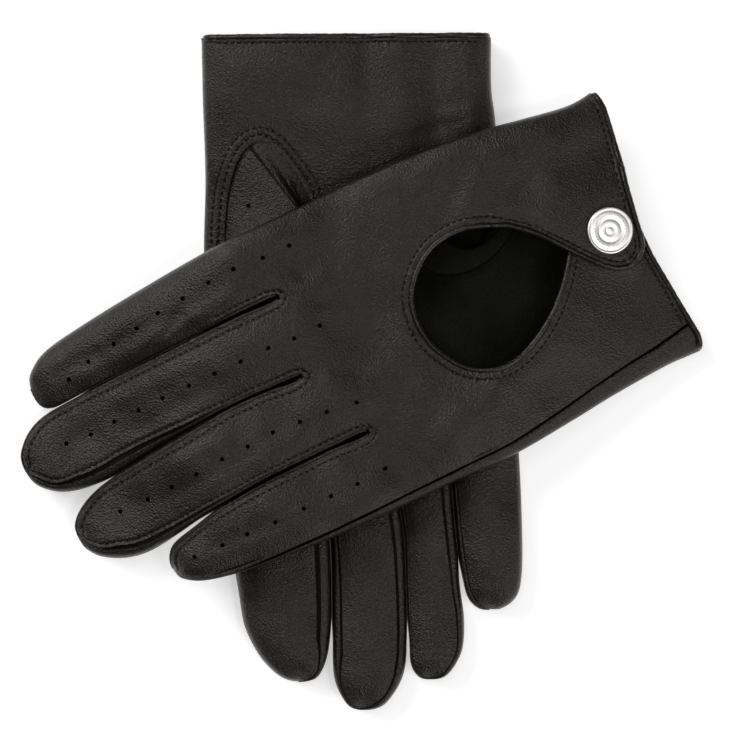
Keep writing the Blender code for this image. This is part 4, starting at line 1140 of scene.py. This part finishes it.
def split_stitches(glove, side, rows, name):
    """All the stitches of a side as one object for the hand and one for each finger."""
    groups = {k: ([], [], [], 0) for k in range(5)}
    per_faces = (len(STITCH_RINGS) - 1) * STITCH_SIDES + 2
    per_spots = len(STITCH_RINGS) * STITCH_SIDES
    for chain in rows:
        spots, faces, patterns, middle = stitch_mesh(glove, side, chain)
        if not len(middle):
            continue
        which = glove.finger_of(middle[:, 0], middle[:, 1])
        limit = np.array([b - CUT_BEFORE for b in glove.bends])[which]
        zone = np.where(middle[:, 1] < limit, 0, which + 1)
        for n, k in enumerate(zone):
            s, f, p, start = groups[k]
            s.append(spots[n * per_spots:(n + 1) * per_spots])
            p.append(patterns[n * per_spots:(n + 1) * per_spots])
            shift = start - n * per_spots
            f += [tuple(i + shift for i in face) for face in faces[n * per_faces:(n + 1) * per_faces]]
            groups[k] = (s, f, p, start + per_spots)
    for k, (s, f, p, _) in groups.items():
        if not s:
            continue
        label = "hand" if k == 0 else FINGERS[k - 1]
        made = add_mesh(f"{glove.name}_{label}_{name}_stitching", np.vstack(s), f, THREAD, np.vstack(p))
        if k == 0:
            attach(made, f"{glove.name}_hand")
        else:
            blend_finger(glove, k - 1, made)


THUMB_AROUND, THUMB_ROWS = 88, 60
THUMB_HALF_WIDTH, THUMB_HALF_DEPTH, THUMB_CENTRE = 14.9, 3.4, 22.0
THUMB_ROOT, THUMB_TIPS = 66.0, {"left": 103.0, "right": 108.0}     # y of its root and of its tip


def thumb(glove):
    """The thumb: a stocking from the opening in the palm to a flat tube that lies towards the fingers."""
    around, rows = THUMB_AROUND, THUMB_ROWS
    half_width, half_depth, centre_x = THUMB_HALF_WIDTH, THUMB_HALF_DEPTH, THUMB_CENTRE
    root_y, tip_y = THUMB_ROOT, THUMB_TIPS[glove.name]
    ring = thumb_ring(0.0)
    apex = int(np.argmin(np.hypot(ring[:, 0] - THUMB_APEX[0], ring[:, 1] - THUMB_APEX[1])))
    far = int(np.argmax(ring[:, 1]))
    over = np.vstack((ring[far:-1], ring[:apex + 1])) if far > apex else ring[far:apex + 1]
    under = ring[apex:far + 1]
    half = around // 2
    over = respaced(over, run_along(over)[-1] / half)[:half]
    under = respaced(under, run_along(under)[-1] / half)[:half]
    hole = np.vstack((over, under))
    turn = 2 * math.pi * np.arange(around) / around
    way = np.roll(hole, -1, axis=0) - np.roll(hole, 1, axis=0)
    way /= np.linalg.norm(way, axis=1)[:, None]
    outward = np.column_stack((-way[:, 1], way[:, 0]))
    spots = []
    for j in range(rows):
        v = j / (rows - 1)
        tuck = 1.0 - 1.4 * min(v / 0.05, 1.0)
        edge = hole + outward * tuck
        seat = glove.body(edge[:, 0], edge[:, 1]) - 1.4 + 0.5 * min(v / 0.05, 1.0)
        if v < 0.5:
            share, size, y = v / 0.5, 1.0, root_y
        else:
            swing = (v - 0.5) / 0.5 * math.pi / 2
            y = root_y + (tip_y - root_y) * math.sin(swing)
            share, size = 1.0, max(math.cos(swing), 0.0) ** 0.55
        lean = -1.0 * (y - root_y) / (tip_y - root_y)
        tx = centre_x + lean + half_width * size * np.cos(turn)
        thick = half_depth * size ** 0.7
        flat = 0.48 + 0.22 * np.cos(turn)
        tw = HAND_DEPTH / 2 + GAP + half_depth + thick * np.sign(np.sin(turn)) * np.abs(np.sin(turn)) ** flat
        x = edge[:, 0] + (tx - edge[:, 0]) * share
        run = edge[:, 1] + (y - edge[:, 1]) * share
        w = seat + (tw - seat) * share
        crease = 0.22 * waves(x, run, 18.0, glove.seed + 21) * min(v * 8.0, 1.0)
        spots.append(np.column_stack((x, run, w + crease)))
    local = np.vstack(spots)
    tris = grid_tris(rows, around, closed=True)
    upper = np.tile(np.sin(turn) > 0.2, rows)
    for px, py in THUMB_PERFORATIONS:
        away = np.hypot(local[:, 0] - px, local[:, 1] - py) + np.where(upper, 0.0, 99.0)
        middle = int(np.argmin(away))
        tris, around_hole = without(tris, middle)
        for v in around_hole:
            gone = local[v, :2] - local[middle, :2]
            gone *= PERFORATION_RADIUS * 1.1 / max(np.hypot(*gone), 1e-6)
            local[v, :2] = local[middle, :2] + gone
    world = glove.place(local[:, 0], local[:, 1], -local[:, 2])
    tris = drop_slivers(tris, world)
    centre = glove.place(centre_x, 80.0, -(HAND_DEPTH / 2 + GAP + half_depth))[0]
    mean = world[tris].mean(axis=1) - centre
    mean[tris[:, 0] < around * rows // 2] = 0.0
    pattern = np.column_stack((local[:, 0] * MM + 5.0, local[:, 1] * MM, np.where(upper, 0.0, 0.5)))
    sheet = Sheet(local[:, :2], tris, world, world, mean, pattern)
    weld_normals([sheet])
    sheet.inner = world - sheet.normals * THUMB_LEATHER * MM
    sheet.closed = np.zeros(len(world), bool)
    made = build_piece(f"{glove.name}_thumb_stall", [(sheet, np.ones(len(sheet.tris), bool))], (PALM, SUEDE))
    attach(made, f"{glove.name}_hand")
    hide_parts(f"{glove.name}_thumb")


def without(tris, middle):
    """The triangles without those at one point, and the points round the hole."""
    hit = (tris == middle).any(axis=1)
    ring = np.unique(tris[hit])
    return tris[~hit], ring[ring != middle]


def snap_frame(glove):
    """Centre of the snap on the flap's outside, with its across, along and outward ways."""
    x, y = SNAP

    def out_at(ax, ay):
        return glove.place(ax, ay, glove.body(np.array([ax]), np.array([ay]))[0])[0]

    across = out_at(x + 6.0, y) - out_at(x - 6.0, y)
    across /= np.linalg.norm(across)
    up = out_at(x, y + 6.0) - out_at(x, y - 6.0)
    out = np.cross(across, up)
    out /= np.linalg.norm(out)
    if not glove.back_up:
        out = -out
    return out_at(x, y), across, np.cross(out, across), out


CAP_PROFILE = [(0.0, 1.34), (1.1, 1.34), (1.3, 1.29), (1.5, 1.34), (3.5, 1.35), (3.75, 1.27), (4.0, 1.35),
               (6.35, 1.38), (6.6, 1.30), (6.85, 1.39), (7.1, 1.46), (7.4, 1.42), (7.58, 1.15), (7.6, 0.7),
               (7.45, 0.2), (7.1, 0.0), (1.3, 0.0), (1.3, -1.3)]
CAP_STEPS, BEADS, BEAD_CIRCLE = 96, 36, 5.15


def snap_cap(glove):
    """The cap: a shallow dish with turned rings and a ring of fine beads between them."""
    centre, across, up, out = snap_frame(glove)
    steps = CAP_STEPS
    low = TAB_LIFT + GAP
    angles = np.arange(steps) * 2 * math.pi / steps
    spots = []
    for radius, height in CAP_PROFILE:
        ring = (np.cos(angles)[:, None] * across + np.sin(angles)[:, None] * up) * radius
        spots.append(centre + (ring + out * (low + height)) * MM)
    spots = np.vstack(spots)
    faces = []
    for j in range(len(CAP_PROFILE) - 1):
        for k in range(steps):
            m = (k + 1) % steps
            if CAP_PROFILE[j][0] == 0.0:
                faces.append((j * steps, (j + 1) * steps + m, (j + 1) * steps + k))
            else:
                faces.append((j * steps + k, j * steps + m, (j + 1) * steps + m, (j + 1) * steps + k))
    last = (len(CAP_PROFILE) - 1) * steps
    faces.append(tuple(last + k for k in range(steps)))
    beads, bead_faces = [], []
    for n in range(BEADS):
        a = 2 * math.pi * n / BEADS
        spot = centre + ((math.cos(a) * across + math.sin(a) * up) * BEAD_CIRCLE + out * (low + 1.36)) * MM
        start = len(spots) + len(beads)
        for tilt, size in ((0.0, 1.0), (0.7, 0.72)):
            for k in range(8):
                b = 2 * math.pi * k / 8
                flat_way = math.cos(b) * across + math.sin(b) * up
                beads.append(spot + (flat_way * 0.30 * size + out * 0.16 * tilt) * MM)
        beads.append(spot + out * 0.17 * MM)
        for k in range(8):
            m = (k + 1) % 8
            bead_faces.append((start + k, start + m, start + 8 + m, start + 8 + k))
            bead_faces.append((start + 8 + k, start + 8 + m, start + 16))
    made = add_mesh(f"{glove.name}_cap_disc", np.vstack((spots, np.array(beads))), faces + bead_faces, NICKEL)
    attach(made, f"{glove.name}_tab")
    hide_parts(f"{glove.name}_snap_cap")


def tab_loop(glove):
    """The closed outline of the tab, from its rounded edge back along the slit."""
    edge = offset(glove.tab_edge, 1.5)
    edge = edge[edge[:, 0] < TAB_HINGE[0] - 0.6]
    cuff_y = along(glove.cuffs[1], TAB_HINGE[0]) + BINDING_RADIUS
    ys = np.linspace(cuff_y, TAB_HINGE[1], SLIT_POINTS)
    hinge = np.column_stack((np.full(SLIT_POINTS, TAB_HINGE[0]), ys))
    return np.vstack((edge, hinge))


def build_glove(glove):
    prepare(glove)
    name, hand = glove.name, f"{glove.name}_hand"
    holes = [circle(p, PERFORATION_RADIUS) for row in PERFORATIONS for p in row] if glove.back_up else []
    tab_row = offset(glove.tab_edge, BOUND_ROW)
    key_run = run_along(glove.keyhole)
    key_row = offset(glove.keyhole, -(BOUND_ROW + 0.2) * squeezed(glove.keyhole, key_run))
    key_row = np.vstack((tab_row[1:8][tab_row[1:8, 0] > TAB_HINGE[0]][::-1], key_row))
    back_cuff_row = respaced(offset(glove.cuff_line(1), BOUND_ROW + 0.2), 1.0)
    palm_cuff_row = respaced(offset(glove.cuff_line(-1), BOUND_ROW + 0.2), 1.0)
    folds = [(glove.fold, FOLD_ROWS, FOLD_STEP, FOLD_LEAST)]
    rows = folds + stitch_rows(*glove.back_rows, key_row, back_cuff_row)
    flat, tris = cut_pattern(loop_of(glove, 1), holes, rows)
    back = hide(glove, 1, flat, tris)
    arch_rows = [thumb_ring(r) for r in ARCH_ROWS]
    folds.append((glove.seam, [-away for away in FOLD_ROWS], FOLD_STEP, FOLD_LEAST))
    rows = folds + stitch_rows(*arch_rows, palm_cuff_row)
    flat, tris = cut_pattern(loop_of(glove, -1), [thumb_ring(0.0)[:-1]], rows)
    palm = hide(glove, -1, flat, tris)
    flat, tris = cut_pattern(tab_loop(glove), [], stitch_rows(tab_row))
    tab = hide(glove, 1, flat, tris, tab=True)
    wrap = wrap_sheet(glove)
    weld_normals([back, palm, tab, wrap])

    back_masks = finger_masks(glove, back)
    palm_masks = finger_masks(glove, palm)
    wrap_masks = finger_masks(glove, wrap)
    made = build_piece(f"{name}_back_of_hand", [(back, back_masks[0])], (BACK, SUEDE))
    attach(made, hand)
    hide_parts(f"{name}_back_panel")
    made = build_piece(f"{name}_palm_of_hand", [(palm, palm_masks[0]), (wrap, wrap_masks[0])], (PALM, SUEDE))
    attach(made, hand)
    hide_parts(f"{name}_palm_panel")
    for index, finger in enumerate(FINGERS):
        made = build_piece(f"{name}_{finger}_back", [(back, back_masks[index + 1])], (BACK, SUEDE))
        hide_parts(f"{name}_{finger}_tip")
        blend_finger(glove, index, made)
        parts = [(palm, palm_masks[index + 1])]
        if index == 3:
            parts.append((wrap, wrap_masks[4]))
        made = build_piece(f"{name}_{finger}_palm", parts, (PALM, SUEDE))
        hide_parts(f"{name}_{finger}_tip")
        blend_finger(glove, index, made)
    for gap in range(3):
        for which in (0, 1):
            index, strip = fourchette(glove, gap, which)
            weld_normals([strip])
            way = "inner" if which == 0 else "outer"
            made = build_piece(f"{name}_{FINGERS[index]}_{way}_strip",
                               [(strip, np.ones(len(strip.tris), bool))], (SIDE, SUEDE))
            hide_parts(f"{name}_{FINGERS[index]}_fourchette_{way}_base",
                        f"{name}_{FINGERS[index]}_fourchette_{way}_tip")
            blend_finger(glove, index, made)
    made = build_piece(f"{name}_tab_hide", [(tab, np.ones(len(tab.tris), bool))], (BACK, SUEDE))
    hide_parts(f"{name}_snap_tab")
    blend_tab(glove, made)
    bindings(glove)
    thumb(glove)
    snap_cap(glove)
    low_x, high_x = glove.seam[4][0] + 3.0, glove.fold[4][0] - 3.0
    cuff_x = back_cuff_row[:, 0]
    wrapped = glove.insets["wrap"][0][1]
    cuff_back = back_cuff_row[(cuff_x > wrapped + low_x - 1.0) & (cuff_x < TAB_FLAP_END - 1.0)]
    cuff_back_right = back_cuff_row[(cuff_x > TAB_HINGE[0]) & (cuff_x < high_x)]
    palm_cuff_row = palm_cuff_row[(palm_cuff_row[:, 0] > low_x) & (palm_cuff_row[:, 0] < high_x)]
    split_stitches(glove, 1, [*glove.back_rows, key_row, cuff_back, cuff_back_right], "back")
    split_stitches(glove, -1, [*arch_rows, palm_cuff_row], "palm")
    spots, faces, patterns, _ = stitch_mesh(glove, 1, tab_row[tab_row[:, 0] < TAB_HINGE[0]], tab=True)
    made = add_mesh(f"{name}_tab_stitching", spots, faces, THREAD, patterns)
    blend_tab(glove, made)
    for node in ("snap_socket", "snap_stud", "snap_eyelet"):
        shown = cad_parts[f"{name}_{node}"]
        shown.data.materials.clear()
        shown.data.materials.append(STEEL)


for glove in (LEFT, RIGHT):
    build_glove(glove)


# -------------------------------------------------------------------------------- camera and studio

VIEW_WIDTH = 236.925 * MM               # what the picture's width shows at the gloves' own height
GLOVES_HEIGHT = 0.015
SENSOR = 36.0
FLOOR_HALF, FLOOR_DROP = 3, 0.0003
CAMERA_HEIGHT = 3.0
PICTURE_CENTRE = (1.63 * MM, 2.25 * MM)

camera = bpy.data.cameras.new("camera")
camera_object = bpy.data.objects.new("camera", camera)
bpy.context.scene.collection.objects.link(camera_object)
bpy.context.scene.camera = camera_object
camera.sensor_width = SENSOR
camera.lens = SENSOR * (CAMERA_HEIGHT - GLOVES_HEIGHT) / VIEW_WIDTH
camera.clip_start, camera.clip_end = 0.05, 20.0
camera_object.location = (PICTURE_CENTRE[0], PICTURE_CENTRE[1], CAMERA_HEIGHT)

floor = bpy.data.meshes.new("floor")
floor_corners = [(x * FLOOR_HALF, y * FLOOR_HALF, -FLOOR_DROP) for x, y in ((-1, -1), (1, -1), (1, 1), (-1, 1))]
floor.from_pydata(floor_corners, [], [(0, 1, 2, 3)])
paper, tree, shader = nodes_of("white_paper")
shader.inputs["Base Color"].default_value = (0.92, 0.92, 0.92, 1.0)
shader.inputs["Roughness"].default_value = 0.9
shader.inputs["Emission Color"].default_value = (1.0, 1.0, 1.0, 1.0)
shader.inputs["Emission Strength"].default_value = 0.5
floor.materials.append(paper)
floor_object = bpy.data.objects.new("floor", floor)
bpy.context.scene.collection.objects.link(floor_object)


def soft_light(name, place, size, energy):
    """A square or oblong lamp that faces the middle of the table."""
    lamp = bpy.data.lights.new(name, "AREA")
    lamp.shape = "RECTANGLE"
    lamp.size, lamp.size_y = size
    lamp.energy = energy
    made = bpy.data.objects.new(name, lamp)
    made.location = place
    made.rotation_mode = "QUATERNION"
    made.rotation_quaternion = (-Vector(place)).to_track_quat("-Z", "Y")
    bpy.context.scene.collection.objects.link(made)


soft_light("overhead", (-0.45, 0.55, 3.3), (0.8, 0.8), 9.0)
soft_light("right_overhead", (1.0, -0.45, 3.1), (0.6, 0.6), 12.0)
soft_light("key", (-0.85, 0.75, 0.95), (1.1, 0.8), 13.0)
soft_light("low_right", (0.85, -0.75, 0.85), (1.1, 0.7), 7.0)
world = bpy.data.worlds.new("studio")
world.use_nodes = True
world.node_tree.nodes["Background"].inputs["Color"].default_value = (1.0, 1.0, 1.0, 1.0)
world.node_tree.nodes["Background"].inputs["Strength"].default_value = 0.10
bpy.context.scene.world = world
bpy.context.scene.view_settings.view_transform = "Standard"
